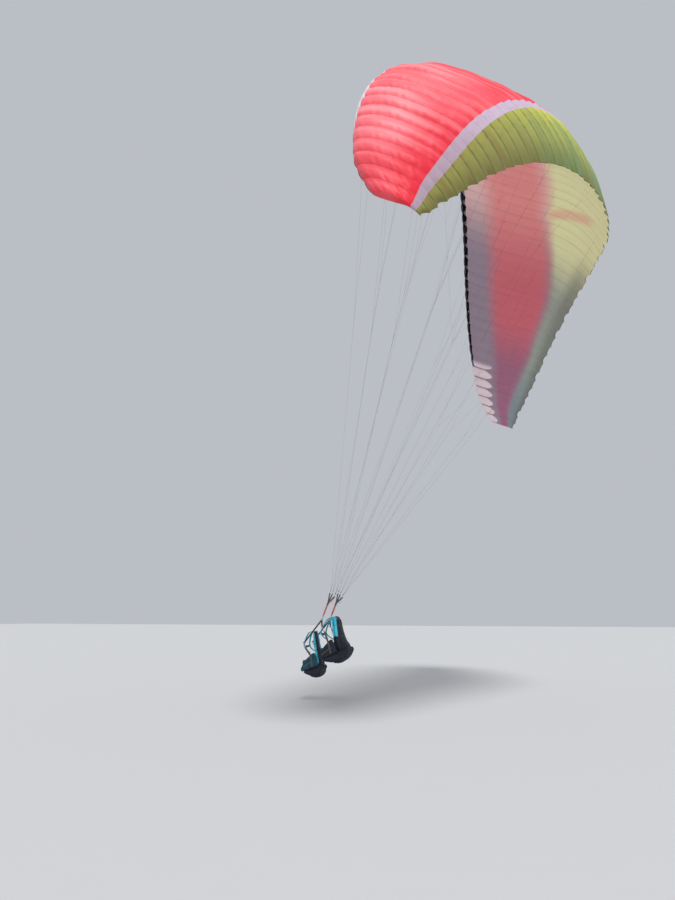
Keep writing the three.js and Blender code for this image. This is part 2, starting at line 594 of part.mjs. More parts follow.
for (const harness of HARNESSES) {
  const { name, hang, lean, corner: [xb, zb], seatDepth, width, backHeight, recline } = harness;
  const group = new THREE.Group();
  group.position.set(hang[0], 0, hang[1]);
  group.rotation.y = lean * DEG;
  cradle.add(group);
  const fabric = cloth(harness.colour);
  const accent = cloth(harness.side);
  const front = xb + seatDepth;

  // Seat board on the seat's base, with a hip panel on each side; the leg straps start in front of the board
  place(group, `${name}_seat_board`, block([xb + 45, -width / 2 + 30, zb], [front - 26, width / 2 - 30, zb + 12]),
    cloth(0x8a6a45));
  const hip = [[xb - 20, zb - 34], [front + 14, zb - 34], [front + 14, zb + 30], [xb + 190, zb + 150],
    [xb + 40, zb + 210], [xb - 20, zb + 210]];
  const base = block([xb - 20, -width / 2 + 2, zb - 34], [front + 14, width / 2 - 2, zb - SEAM]);
  place(group, `${name}_seat_shell`, joined([base, slab(hip, width / 2 - 14, width / 2),
    slab(hip, -width / 2, -width / 2 + 14)]), fabric);

  // Back pad, rising from the corner; "up" runs along it and "rear" out of it
  const up = [-Math.sin(recline * DEG), Math.cos(recline * DEG)];
  const rear = [-up[1], up[0]];
  const backHalf = 15;
  const foot = SEAM - rear[1] * 2 * backHalf;   // lifts the pad's rear corner just off the seat's base
  const backAt = (rise, out) => [xb + 20 + up[0] * rise + rear[0] * out, zb + foot + up[1] * rise + rear[1] * out];
  place(group, `${name}_back_pad`, pad([[0, 0.36], [0.35, 0.44], [0.7, 0.42], [1, 0.3]].map(([rise, half]) => ({
    at: backAt(rise * backHeight, backHalf), out: rear, thick: backHalf, width: half * width,
  }))), fabric);

  // What is behind the back: the pilot's container, with its sole on the airbag
  if (harness.container) {
    const deepSole = harness.container * CONTAINER_SOLE.thick / 2;
    const sole = {
      at: [xb - 22 - deepSole, zb - 34], out: [-1, 0], thick: deepSole, width: CONTAINER_SOLE.half * width,
    };
    place(group, `${name}_container`, pad([sole, ...CONTAINER_ROWS.map(({ rise, half, thick }) => {
      const deep = harness.container * thick / 2;
      return { at: backAt(rise * backHeight, backHalf * 2 + SEAM + deep), out: rear, thick: deep, width: half * width };
    })]), fabric);
  }

  // Airbag below the seat, thickest at the rear
  place(group, `${name}_airbag`, pad(AIRBAG_ROWS.map(({ at, thick }) => {
    const deep = harness.airbag * thick / 2;
    const along = harness.rear + (AIRBAG_FRONT - harness.rear) * at;
    return { at: [xb + along * seatDepth, zb - 34 - SEAM - deep], out: [0, 1], thick: deep, width: width * 0.48 };
  })), fabric);

  const chest = xb + 135;
  const shoulderThick = 12;
  for (const [sideName, side] of [["left", 1], ["right", -1]]) {
    const y = side * HANG_HALF;
    const across = V(1, 0, 0);
    place(group, `${name}_carabiner_${sideName}`, carabiner(0, y, -CARABINER_HEIGHT), metal(colours.metal));
    // Main webbing from the carabiner to the hip panel
    const low = -CARABINER_HEIGHT - EYE - 2;
    const outside = width / 2 + 3 + SEAM;
    const strap = webbing([V(0, y, low), V(-5, y, low - 40), V(xb + 70, side * outside, zb + 190),
      V(xb + 110, side * outside, zb - 20)], 36, 6, across);
    place(group, `${name}_main_strap_${sideName}`, joined([webbingLoop(0, y, -CARABINER_HEIGHT), strap]),
      cloth(colours.webbing));
    // Shoulder strap over the top of the back pad, down in front of the rider, to the main strap
    const strapY = outside + (HANG_HALF - outside) * (220 - 190) / (low - 40 - zb - 190);
    const over = backHeight + shoulderThick / 2 + SEAM;
    const crest = backAt(over, -8);
    const shoulder = webbing([
      [backAt(over, 26), 78], [crest, 80], [[crest[0] + 92, crest[1] - 10], 96], [[chest, zb + 430], 140],
      [[chest, zb + 330], 150], [[xb + 72, zb + 232], strapY - 34.2],
    ].map(([[x, z], offset]) => V(x, side * offset, z)), 60, shoulderThick, V(0, 1, 0));
    place(group, `${name}_shoulder_strap_${sideName}`, shoulder, accent);

    // Leg strap from the front of the seat's base over the thigh to the inside of the hip panel
    const legThick = 4;
    const hipY = width / 2 - 14 - SEAM - legThick / 2;
    const leg = webbing([
      [front - 6, 14, zb + legThick / 2], [front - 6, 44, zb + legThick / 2], [front - 6, 56, zb + 30],
      [front - 36, 88, zb + 104], [front - 74, 126, zb + 150], [front - 108, hipY - 16, zb + 142],
      [front - 124, hipY, zb + 104], [front - 124, hipY, zb + 60],
    ].map(([x, offset, z]) => V(x, side * offset, z)), 34, legThick, across);
    place(group, `${name}_leg_strap_${sideName}`, leg, cloth(colours.webbing));
  }
  const buckled = chest + shoulderThick / 2 + SEAM + 2.5;
  place(group, `${name}_chest_strap`, webbing([V(buckled, -135, zb + 385), V(buckled + 14, 0, zb + 382),
    V(buckled, 135, zb + 385)], 38, 5, V(0, 0, 1)), cloth(colours.webbing));
}

// The origin: on the lower skin at the centre rib
const ORIGIN_AT = 0.34;
craft.updateMatrixWorld(true);
const origin = canopyPoint(0, -Math.sqrt(ORIGIN_AT)).applyMatrix4(wing.matrixWorld);
craft.position.copy(origin).negate();

export default craft;
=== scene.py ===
import math

import bpy
import numpy as np
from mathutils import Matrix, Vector


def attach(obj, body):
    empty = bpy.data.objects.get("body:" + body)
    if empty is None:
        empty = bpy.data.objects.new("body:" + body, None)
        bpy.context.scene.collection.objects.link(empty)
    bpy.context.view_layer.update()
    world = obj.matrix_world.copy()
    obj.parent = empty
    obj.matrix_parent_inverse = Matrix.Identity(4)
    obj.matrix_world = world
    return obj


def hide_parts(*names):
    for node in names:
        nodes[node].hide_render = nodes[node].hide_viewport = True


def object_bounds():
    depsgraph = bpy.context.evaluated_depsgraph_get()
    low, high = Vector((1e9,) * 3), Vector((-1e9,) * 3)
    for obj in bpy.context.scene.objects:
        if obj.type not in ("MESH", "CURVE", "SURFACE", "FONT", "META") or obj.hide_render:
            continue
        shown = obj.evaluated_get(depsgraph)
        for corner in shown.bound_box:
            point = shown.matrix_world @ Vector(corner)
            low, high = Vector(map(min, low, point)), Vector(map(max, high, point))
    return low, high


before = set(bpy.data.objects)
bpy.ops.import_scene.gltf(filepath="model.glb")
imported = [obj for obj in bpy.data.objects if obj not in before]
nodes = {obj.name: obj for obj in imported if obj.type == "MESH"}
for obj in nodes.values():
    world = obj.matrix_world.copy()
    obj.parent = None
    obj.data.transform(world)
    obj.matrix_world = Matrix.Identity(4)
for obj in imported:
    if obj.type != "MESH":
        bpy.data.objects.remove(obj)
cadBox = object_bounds()

# The point between the main carabiners, in metres in the part's frame
hangPoint = np.array([3.76188, 0.0, -8.8873])
sides = (("left", 1), ("right", -1))
forwards, sideways, upwards = (1, 0, 0), (0, 1, 0), (0, 0, 1)

view = {
    "fromHang": (-4.8314, 13.658, 0.1358),   # camera from the hang point
    "heading": (0.31896, -0.94777),
    "pitch": 12.417,                         # degrees up
    "lens": 29.547,
    "sensor": 36.0,
    "far": 400,
}


def linked(name, data):
    # A new object in the scene
    made = bpy.data.objects.new(name, data)
    bpy.context.scene.collection.objects.link(made)
    return made


def setCamera():
    pitch = math.radians(view["pitch"])
    level = [part * math.cos(pitch) for part in view["heading"]]
    data = bpy.data.cameras.new("camera")
    data.sensor_fit = "VERTICAL"
    data.sensor_height, data.lens, data.clip_end = view["sensor"], view["lens"], view["far"]
    camera = linked("camera", data)
    camera.location = Vector(hangPoint) + Vector(view["fromHang"])
    camera.rotation_euler = Vector((*level, math.sin(pitch))).to_track_quat("-Z", "Y").to_euler()
    bpy.context.scene.camera = camera


setCamera()
print("camera set")


class Value:
    # A socket that can be used in sums
    def __init__(self, finish, socket):
        self.finish, self.socket = finish, socket

    def __add__(self, other):
        return self.finish.maths("ADD", self, other)

    def __sub__(self, other):
        return self.finish.maths("SUBTRACT", self, other)

    def __rsub__(self, other):
        return self.finish.maths("SUBTRACT", other, self)

    def __mul__(self, other):
        return self.finish.maths("MULTIPLY", self, other)

    def __truediv__(self, other):
        return self.finish.maths("DIVIDE", self, other)

    def __rtruediv__(self, other):
        return self.finish.maths("DIVIDE", other, self)

    __radd__, __rmul__ = __add__, __mul__


class Finish:
    # One material, with the node maker that everything goes through
    def __init__(self, name, **constants):
        self.material = bpy.data.materials.new(name)
        self.material.use_nodes = True
        self.tree = self.material.node_tree
        self.tree.nodes.clear()
        self.shader = self.tree.nodes.new("ShaderNodeBsdfPrincipled")
        out = self.tree.nodes.new("ShaderNodeOutputMaterial")
        self.tree.links.new(self.shader.outputs[0], out.inputs[0])
        for key, value in constants.items():
            self.shader.inputs[key.replace("_", " ")].default_value = value

    def node(self, kind, inputs=(), out=0, **settings):
        made = self.tree.nodes.new("ShaderNode" + kind)
        for key, value in settings.items():
            setattr(made, key, value)
        for key, value in dict(inputs).items():
            if isinstance(value, Value):
                self.tree.links.new(value.socket, made.inputs[key])
            else:
                made.inputs[key].default_value = value
        return Value(self, made.outputs[out])

    def maths(self, operation, *values):
        return self.node("Math", enumerate(values), operation=operation)

    def least(self, first, second):
        return self.maths("MINIMUM", first, second)

    def most(self, first, second):
        return self.maths("MAXIMUM", first, second)

    def fraction(self, value):
        return self.maths("FRACT", value)

    def size(self, value):
        return self.maths("ABSOLUTE", value)

    def wave(self, value):
        return self.maths("SINE", value)

    def step(self, value, low, high):
        return self.node("MapRange", {"Value": value, "From Min": low, "From Max": high},
                         interpolation_type="SMOOTHSTEP")

    def attribute(self, name):
        return self.node("Attribute", out="Fac", attribute_name=name)

    def place(self):
        return self.node("TexCoord", out="Object")

    def stretched(self, scales):
        return self.node("VectorMath", {0: self.place(), 1: scales}, operation="MULTIPLY")

    def noise(self, scale, detail=2.0, where=None):
        return self.node("TexNoise", {"Vector": where or self.place(), "Scale": scale, "Detail": detail})

    def cellNoise(self, across, along, offset):
        # Patches on the canopy: how fine they are per cell across it, and per metre along
        where = {0: self.attribute("across") * across, 1: self.attribute("along") * along, 2: offset}
        return self.noise(1.0, 3, self.node("CombineXYZ", where))

    def bands(self, axis, scale, distortion, detail):
        inputs = {"Vector": self.place(), "Scale": scale, "Distortion": distortion, "Detail": detail}
        return self.node("TexWave", inputs, "Fac", wave_type="BANDS", bands_direction=axis)

    def blend(self, mask, first, second, mode="MIX"):
        first, second = [(*one, 1.0) if isinstance(one, tuple) else one for one in (first, second)]
        return self.node("Mix", {0: mask, 6: first, 7: second}, 2, data_type="RGBA", blend_type=mode)

    def feed(self, socket, value):
        self.tree.links.new(value.socket, self.shader.inputs[socket])

    def surface(self, colour, roughness, height, distance, strength):
        # Feeds the three sockets that vary over a surface, and gives the material
        self.feed("Base Color", colour)
        self.feed("Roughness", roughness)
        self.feed("Normal", self.node("Bump", {"Height": height, "Distance": distance, "Strength": strength}))
        return self.material


cloth = {
    "cellWidth": 0.28,       # metres between ribs, on average
    "ripstop": 0.0055,       # spacing of the reinforcing threads
    "threadShare": 0.12,
    "stitch": 0.004,         # length of a stitch, and how far beside the seam it lies
    "seamHalf": 0.005,
    "seamFade": 0.022,
    "shade": (0.72, 0.68, 0.72),
    "threadWhite": (0.9, 0.9, 0.9),
    "stitchWhite": (0.75, 0.72, 0.75),
    "red": (0.74, 0.012, 0.034),
    # painted highlights on the red, in patches and on the cell crowns
    "redBright": (0.94, 0.12, 0.15),
    "redHighlight": (0.97, 0.27, 0.30),
    "noseStrip": (0.80, 0.76, 0.82),
    "noseWide": (0.011, 0.019),   # chord share of the nose strip, and how much wider it gets
    "pale": (0.50, 0.37, 0.48),
    "paleLight": (0.70, 0.58, 0.72),
    # painted shade at the stripe's tips
    "paleTip": (0.34, 0.22, 0.26),
    "green": (0.62, 0.62, 0.06),
    # painted shade on the green: to the rear, in patches, browner to the left and greener to the right
    "greenMiddleShade": (0.36, 0.40, 0.08),
    "greenEdgeShade": (0.17, 0.20, 0.04),
    "greenPatchShade": (0.13, 0.26, 0.09),
    "greenBrownShade": (0.22, 0.165, 0.045),
    "greenFarShade": (0.13, 0.25, 0.10),
    # the lower skin's colours: painted glow of light through the upper skin, and painted shade
    "noseGlow": (0.98, 0.60, 0.56),
    "noseShade": (0.37, 0.28, 0.35),
    "glowCoral": (1.0, 0.31, 0.29),
    "glowRed": (0.80, 0.155, 0.195),
    "glowMauve": (0.41, 0.145, 0.24),
    "edgeGlow": (0.98, 0.95, 0.50),
    "edgeShadeGrey": (0.40, 0.45, 0.38),
    "edgeTip": (0.27, 0.33, 0.36),
    "edgeShade": (0.22, 0.25, 0.20),
    "slackCell": 4,          # ribs right of the middle where the glow reaches further back
    # painted sunlight on the closed cells' noses, and painted shadow between them
    "lobe": (0.90, 0.74, 0.78),
    "lobeShadow": (0.36, 0.19, 0.27),
    # painted shade inside the cells, lighter in patches
    "inner": (0.020, 0.022, 0.035),
    "innerShadeLighter": (0.035, 0.038, 0.055),
    "ribWhite": (0.80, 0.78, 0.80),
}


def ripstop(name, colourOf, seamAndShadeColour, seamAndShadeDepth):
    f = Finish(name, Sheen_Weight=0.05, Sheen_Roughness=0.4, Specular_IOR_Level=0.28)
    across, along = f.attribute("across"), f.attribute("along")
    inCell = f.fraction(across)
    toSeam = f.least(inCell, 1 - inCell) * cloth["cellWidth"]
    seam = 1 - f.step(toSeam, cloth["seamHalf"], cloth["seamHalf"] + cloth["seamFade"])
    stitched = f.step(f.size(f.fraction(along / cloth["stitch"]) - 0.5), 0.12, 0.2)
    stitch = (1 - f.step(f.size(toSeam - cloth["stitch"]), 0.0004, 0.0012)) * stitched
    threads = (across * cloth["cellWidth"] / cloth["ripstop"], along / cloth["ripstop"])
    thread = f.most(*[1 - f.step(f.fraction(one), 0, cloth["threadShare"]) for one in threads])
    colour = colourOf(f)
    # painted shade in streaks along the cells
    shadeStreak = f.step(f.cellNoise(3.1, 0.9, 4.0), 0.45, 0.75)
    colour = f.blend(shadeStreak * 0.22, colour, f.blend(1.0, colour, cloth["shade"], "MULTIPLY"))
    colour = f.blend(thread * 0.05, colour, f.blend(0.3, colour, cloth["threadWhite"]))
    # the seams are darkened, partly as real seams and partly as painted shade of the rib behind them
    colour = f.blend(seam * seamAndShadeDepth, colour, seamAndShadeColour)
    colour = f.blend(stitch * 0.35, colour, cloth["stitchWhite"])
    crinkle = f.noise(26, 3, f.stretched((1.0, 2.4, 1.0)))
    creases = f.cellNoise(2.0, 2.6, 0.5)
    height = 0.04 * thread + crinkle * 0.5 + creases * 3.0 - seam * 0.5 + stitch * 0.4
    return f.surface(colour, 0.42 + 0.14 * f.noise(1.3, 4) + 0.1 * seam, height, 0.0042, 0.7)


def cellBulge(f):
    # 0 at the ribs and 1 in the middle of a cell
    inCell = f.fraction(f.attribute("across"))
    return 4 * inCell * (1 - inCell)


def redPanel(f):
    # Red, with painted highlights in patches, on the cell crowns and towards the nose, and a pale strip round
    # the nose that widens halfway along each side
    chord, reach = f.attribute("chordShare"), f.size(f.attribute("reach"))
    crown = f.step(cellBulge(f), 0.45, 1.0) * f.step(reach, 0.15, 0.6)
    front = 1 - f.step(chord, 0.30, 0.62)
    patches = f.step(f.cellNoise(0.9, 0.8, 7.0), 0.36, 0.62)
    # painted highlight: patches of a brighter red
    colour = f.blend(f.step(f.noise(0.8, 3), 0.4, 0.7) * 0.6, cloth["red"], cloth["redBright"])
    # painted highlight on the cell crowns and, more strongly, near the nose; weaker at the tips
    sunlit = crown * patches * (0.35 + 0.2 * front) + 0.45 * front * f.step(reach, 0.35, 0.7)
    colour = f.blend(sunlit * (1 - 0.6 * f.step(reach, 0.84, 0.97)), colour, cloth["redHighlight"])
    narrow, extra = cloth["noseWide"]
    wide = narrow + extra * f.step(reach, 0.38, 0.52) * (1 - f.step(reach, 0.74, 0.86))
    nose = (1 - f.step(chord - wide, -0.0015, 0.0015)) * (1 - f.step(reach, 0.84, 0.88))
    return f.blend(nose, colour, cloth["noseStrip"])


def palePanel(f):
    colour = f.blend(f.noise(2.0) * 0.5, cloth["pale"], cloth["paleLight"])
    # painted shade: the stripe darkens towards the tips
    return f.blend(f.step(f.size(f.attribute("reach")), 0.6, 0.9) * 0.6, colour, cloth["paleTip"])


def greenPanel(f):
    # Yellow-green, with painted shade that makes it darker to the rear, browner to the left and greener in
    # patches and to the right
    chord, reach = f.attribute("chordShare"), f.attribute("reach")
    colour = f.blend(f.step(chord, 0.70, 0.88), cloth["green"], cloth["greenMiddleShade"])
    colour = f.blend(f.step(chord, 0.86, 1.0), colour, cloth["greenEdgeShade"])
    brownShade = f.step(f.cellNoise(1.3, 0.7, 1.0), 0.45, 0.7)
    colour = f.blend(brownShade * 0.3 + 0.55 * f.step(reach, 0.35, 0.75), colour, cloth["greenBrownShade"])
    patchShade = f.step(f.cellNoise(0.9, 1.1, 12.0), 0.42, 0.66) * f.step(chord, 0.68, 0.8)
    colour = f.blend(patchShade * (1 - f.step(reach, 0.3, 0.7)) * 0.7, colour, cloth["greenPatchShade"])
    return f.blend((1 - f.step(reach, -0.40, 0.10)) * 0.55, colour, cloth["greenFarShade"])


def lowerPanel(f):
    # White cloth with the upper skin's bands showing through it as painted glow, and painted shade under the
    # nose and towards the tips; the closed cells have a bright lobe of painted sunlight each
    across, chord = f.attribute("across"), f.attribute("chordShare")
    reach, bulge = f.size(f.attribute("reach")), cellBulge(f)
    at = chord + (f.noise(0.9, 2) - 0.5) * 0.06
    front = 0.22 + 0.25 * reach * reach
    rear = 0.58 + 0.20 * f.step(reach, 0.12, 0.55) - 0.08 * f.step(reach, 0.7, 0.95)
    # the band in which the red upper skin's glow is painted
    red = f.step(at - front, -0.09, 0.08) * (1 - f.step(at - rear, -0.08, 0.07))
    # one cell right of the middle is slack, and the upper skin glows through it further back
    slack = f.size(across + cloth["slackCell"] - (chord - 0.62) * 6.5)
    slack = (1 - f.step(slack, 0.2, 0.9)) * f.step(chord, 0.56, 0.66) * (1 - f.step(chord, 0.82, 0.92))
    # painted shade under the nose, and a painted cream glow near the middle
    colour = f.blend(f.step(reach, 0.10, 0.42), cloth["noseGlow"], cloth["noseShade"])
    # painted yellow glow by the trailing edge, going to painted shade towards the tips
    edge = f.blend(f.step(reach, 0.25, 0.52), cloth["edgeGlow"], cloth["edgeShadeGrey"])
    edge = f.blend(f.step(reach, 0.7, 0.95), edge, cloth["edgeTip"])
    edge = f.blend(f.step(chord, 0.84, 0.95) * f.step(reach, 0.2, 0.4) * 0.65, edge, cloth["edgeShade"])
    colour = f.blend(f.step(at - rear, -0.03, 0.07), colour, edge)
    glow = f.blend(f.step(reach, 0.1, 0.5), cloth["glowCoral"], cloth["glowRed"])
    glow = f.blend(f.step(reach, 0.60, 0.82), glow, cloth["glowMauve"])
    colour = f.blend(f.most(red * 0.95, slack * 0.5), colour, glow)
    # painted sunlight on the nose of each closed cell, in rounded lobes, with painted shadow between them
    lobe = (1 - f.step(chord - 0.15 * bulge, 0.17, 0.20)) * f.step(reach, 0.80, 0.82)
    shadow = lobe * (1 - f.step(bulge, 0.12, 0.36))
    return f.blend(shadow * 0.8, f.blend(lobe, colour, cloth["lobe"]), cloth["lobeShadow"])


def innerPanel(f):
    # The ribs: white cloth with painted shade that makes them dark inside the middle cells, white towards the
    # tips; the lining is all painted shade
    # painted shade, lighter in patches
    dark = f.blend(f.noise(3.0), cloth["inner"], cloth["innerShadeLighter"])
    light = f.most(f.step(f.size(f.attribute("reach")), 0.45, 0.6),
                   1 - f.step(f.attribute("chordShare"), 0.012, 0.03))
    return f.blend(light * f.attribute("rib"), dark, cloth["ribWhite"])


redCloth = ripstop("redCloth", redPanel, (0.42, 0.006, 0.02), 0.16)
paleCloth = ripstop("paleCloth", palePanel, (0.42, 0.32, 0.44), 0.35)
greenCloth = ripstop("greenCloth", greenPanel, (0.10, 0.11, 0.02), 0.75)
lowerCloth = ripstop("lowerCloth", lowerPanel, (0.42, 0.28, 0.33), 0.16)
ribCloth = ripstop("ribCloth", innerPanel, (0.10, 0.10, 0.12), 0.3)


def webbingFinish(name, colour, edge, thread):
    # Woven strap: "along" and "across" in metres, "half" its half width
    f = Finish(name, Sheen_Weight=0.1, Sheen_Roughness=0.5, Specular_IOR_Level=0.35)
    along, across = f.attribute("along"), f.attribute("across")
    twill = f.wave((along + f.size(across) * 1.2) * 3200) * f.wave(across * 4200)
    margin = f.attribute("half") - f.size(across)
    dashes = f.step(f.size(f.fraction(along / 0.006) - 0.5), 0.14, 0.22)
    stitch = (1 - f.step(f.size(margin - 0.0045), 0.0004, 0.0009)) * dashes
    wear = f.noise(60, 4)
    base = f.blend(wear * 0.5, colour, f.blend(0.35, colour, (0.5, 0.5, 0.5)))
    base = f.blend((1 - f.step(margin, 0.0015, 0.003)) * 0.8, base, edge)
    base = f.blend(stitch * 0.9, base, thread)
    return f.surface(base, 0.62 + 0.2 * wear, twill * 0.5 + stitch * 1.2 + wear * 0.6, 0.0006, 0.8)


nylon = {
    "sheen": {"Sheen_Weight": 0.08, "Sheen_Roughness": 0.45, "Specular_IOR_Level": 0.3},
    "dark": (0.010, 0.013, 0.024), "darkWorn": (0.030, 0.036, 0.058),
    "joint": (0.01, 0.01, 0.012), "stitch": (0.30, 0.31, 0.33),
}


def nylonFinish(name, colour=nylon["dark"], worn=nylon["darkWorn"], thread=0.0016):
    f = Finish(name, **nylon["sheen"])
    weave = f.bands("X", 0.32 / thread, 0.6, 1.0) * f.bands("Z", 0.32 / thread, 0.6, 1.0)
    dust, folds = f.noise(9, 5), f.noise(22, 3)
    base = f.blend(f.step(dust, 0.4, 0.75) * 0.45, colour, worn)
    base = f.blend(weave * 0.18, base, worn)
    return f.surface(base, 0.6 + 0.22 * dust, weave * 0.25 + folds * 1.6, 0.0016, 0.7)


def panelFinish(name, second, secondWorn):
    # Dark nylon and a second colour: "panel" is the distance into it, "toSeam" the distance to a seam
    f = Finish(name, **nylon["sheen"])
    dust, folds = f.noise(9, 5), f.noise(22, 3)
    faded = f.step(dust, 0.4, 0.75) * 0.45
    inPanel = f.step(f.attribute("panel"), -0.0008, 0.0008)
    dark = f.blend(faded, nylon["dark"], nylon["darkWorn"])
    base = f.blend(inPanel, dark, f.blend(faded, second, secondWorn))
    toSeam = f.attribute("toSeam")
    stitch = (1 - f.step(f.size(toSeam - 0.0055), 0.0005, 0.0012)) * f.step(f.noise(190, 0), 0.44, 0.5)
    base = f.blend((1 - f.step(toSeam, 0.001, 0.003)) * 0.6, base, nylon["joint"])
    base = f.blend(stitch * 0.5, base, nylon["stitch"])
    height = f.noise(420, 2) * 0.2 + folds * 1.6 + stitch * 0.3
    return f.surface(base, 0.6 + 0.22 * dust, height, 0.0016, 0.7)


def metalFinish(name, colour, roughness=0.3):
    f = Finish(name, Metallic=1.0)
    brushed = f.noise(30, 4, f.stretched((4.0, 4.0, 60.0)))
    scuffs = f.noise(140, 5)
    base = f.blend(f.step(scuffs, 0.55, 0.75) * 0.5, colour, tuple(0.6 * part for part in colour))
    return f.surface(base, roughness + 0.22 * brushed + 0.1 * f.step(scuffs, 0.5, 0.7), brushed, 0.0003, 0.4)


def lineFinish(name, colour, fleck):
    f = Finish(name)
    braid = f.noise(700, 2)
    return f.surface(f.blend(f.step(braid, 0.45, 0.6), colour, fleck), 0.65 + 0.2 * braid, braid, 0.0003, 0.6)


def woodFinish(name, light, dark):
    f = Finish(name, Coat_Weight=0.2, Coat_Roughness=0.3)
    plies, rings = f.noise(7, 6, f.stretched((1.0, 9.0, 9.0))), f.bands("Y", 14.0, 5.0, 3.0)
    base = f.blend(rings * 0.6 + plies * 0.3, light, dark)
    return f.surface(base, 0.42 + 0.2 * plies, rings * 0.3 + plies, 0.0008, 0.5)


def mouldedFinish(name, colour):
    f = Finish(name)
    grain = f.noise(300, 3)
    base = f.blend(grain * 0.4, colour, tuple(min(1.0, part * 2.2 + 0.02) for part in colour))
    return f.surface(base, 0.38 + 0.2 * grain, grain, 0.0003, 0.5)


blackWebbing = webbingFinish("blackWebbing", (0.025, 0.025, 0.028), (0.05, 0.05, 0.055), (0.35, 0.35, 0.36))
redWebbing = webbingFinish("redWebbing", (0.45, 0.03, 0.05), (0.80, 0.76, 0.76), (0.85, 0.82, 0.8))
greyWebbing = webbingFinish("greyWebbing", (0.10, 0.105, 0.11), (0.04, 0.04, 0.045), (0.55, 0.55, 0.56))
blackNylon = nylonFinish("blackNylon")
cyanNylon = nylonFinish("cyanNylon", (0.035, 0.42, 0.60), (0.16, 0.62, 0.74))
tealNylon = nylonFinish("tealNylon", (0.003, 0.042, 0.066), (0.012, 0.090, 0.128))
pilotPanels = panelFinish("pilotPanels", (0.035, 0.50, 0.68), (0.20, 0.68, 0.80))
passengerPanels = panelFinish("passengerPanels", (0.03, 0.45, 0.62), (0.16, 0.62, 0.74))
steel = metalFinish("steel", (0.58, 0.59, 0.61))
anodised = metalFinish("anodised", (0.20, 0.21, 0.24), 0.34)
alloy = metalFinish("alloy", (0.66, 0.67, 0.70), 0.28)
sleeveBlack = nylonFinish("sleeveBlack", (0.03, 0.03, 0.034), (0.09, 0.09, 0.10), 0.0012)
darkLine = lineFinish("darkLine", (0.07, 0.07, 0.08), (0.30, 0.10, 0.12))
redLine = lineFinish("redLine", (0.34, 0.07, 0.09), (0.55, 0.45, 0.45))
brakeLine = lineFinish("brakeLine", (0.40, 0.26, 0.08), (0.10, 0.10, 0.10))
plywood = woodFinish("plywood", (0.46, 0.30, 0.16), (0.27, 0.16, 0.08))
blackPlastic = mouldedFinish("blackPlastic", (0.02, 0.02, 0.022))
whiteThread = mouldedFinish("whiteThread", (0.55, 0.55, 0.56))
print("finishes made")


def gridFaces(rows, columns, wrapRows=False, wrapColumns=False, flip=False):
    faces = []
    for i in range(rows if wrapRows else rows - 1):
        for j in range(columns if wrapColumns else columns - 1):
            k, m = (i + 1) % rows, (j + 1) % columns
            faces.append((i * columns + j, i * columns + m, k * columns + m, k * columns + j))
    return [face[::-1] for face in faces] if flip else faces


def ringFaces(rows, columns, closed=False, flip=False):
    # A body of rings, either closed on itself or with a face at each end
    faces = gridFaces(rows, columns, closed, True)
    if not closed:
        faces += [tuple(range(columns))[::-1], tuple(range((rows - 1) * columns, rows * columns))]
    return [face[::-1] for face in faces] if flip else faces


def turns(count):
    return np.linspace(0, 2 * math.pi, count, endpoint=False)


def lengths(path):
    return np.concatenate([[0], np.cumsum(np.linalg.norm(np.diff(path, axis=0), axis=1))])


def smoothPath(points, steps=8, closed=False):
    # A rounded path through the points, evenly spread
    points = np.asarray(points, float)
    if closed:
        full = np.concatenate([points[-1:], points, points[:2]])
    else:
        full = np.vstack([2 * points[0] - points[1], points, 2 * points[-1] - points[-2]])
    made = []
    for i in range(len(full) - 3):
        a, b, c, d = full[i:i + 4]
        for t in np.linspace(0, 1, steps, endpoint=False):
            made.append(0.5 * (2 * b + (c - a) * t + (2 * a - 5 * b + 4 * c - d) * t * t
                               + (3 * b - 3 * c + d - a) * t ** 3))
    return np.array(made if closed else made + [points[-1]])


def directions(path, axis, closed=False):
    # Side and out directions along a path; the side keeps near "axis"
    axis = np.asarray(axis, float)
    ahead = np.roll(path, -1, 0) - np.roll(path, 1, 0) if closed else np.gradient(path, axis=0)
    ahead /= np.linalg.norm(ahead, axis=1)[:, None]
    side = axis - (axis * ahead).sum(1)[:, None] * ahead
    side /= np.linalg.norm(side, axis=1)[:, None]
    return side, np.cross(ahead, side)


def mark(mesh, name, values):
    mesh.attributes.new(name, "FLOAT", "POINT").data.foreach_set("value", values.astype(np.float32))


# A strap's section, as shares of half its width and half its thickness
strapSection = ((-1, -0.5), (-1, 0.5), (-0.94, 1), (0, 1), (0.94, 1), (1, 0.5), (1, -0.5), (0.94, -1),
                (0, -1), (-0.94, -1))


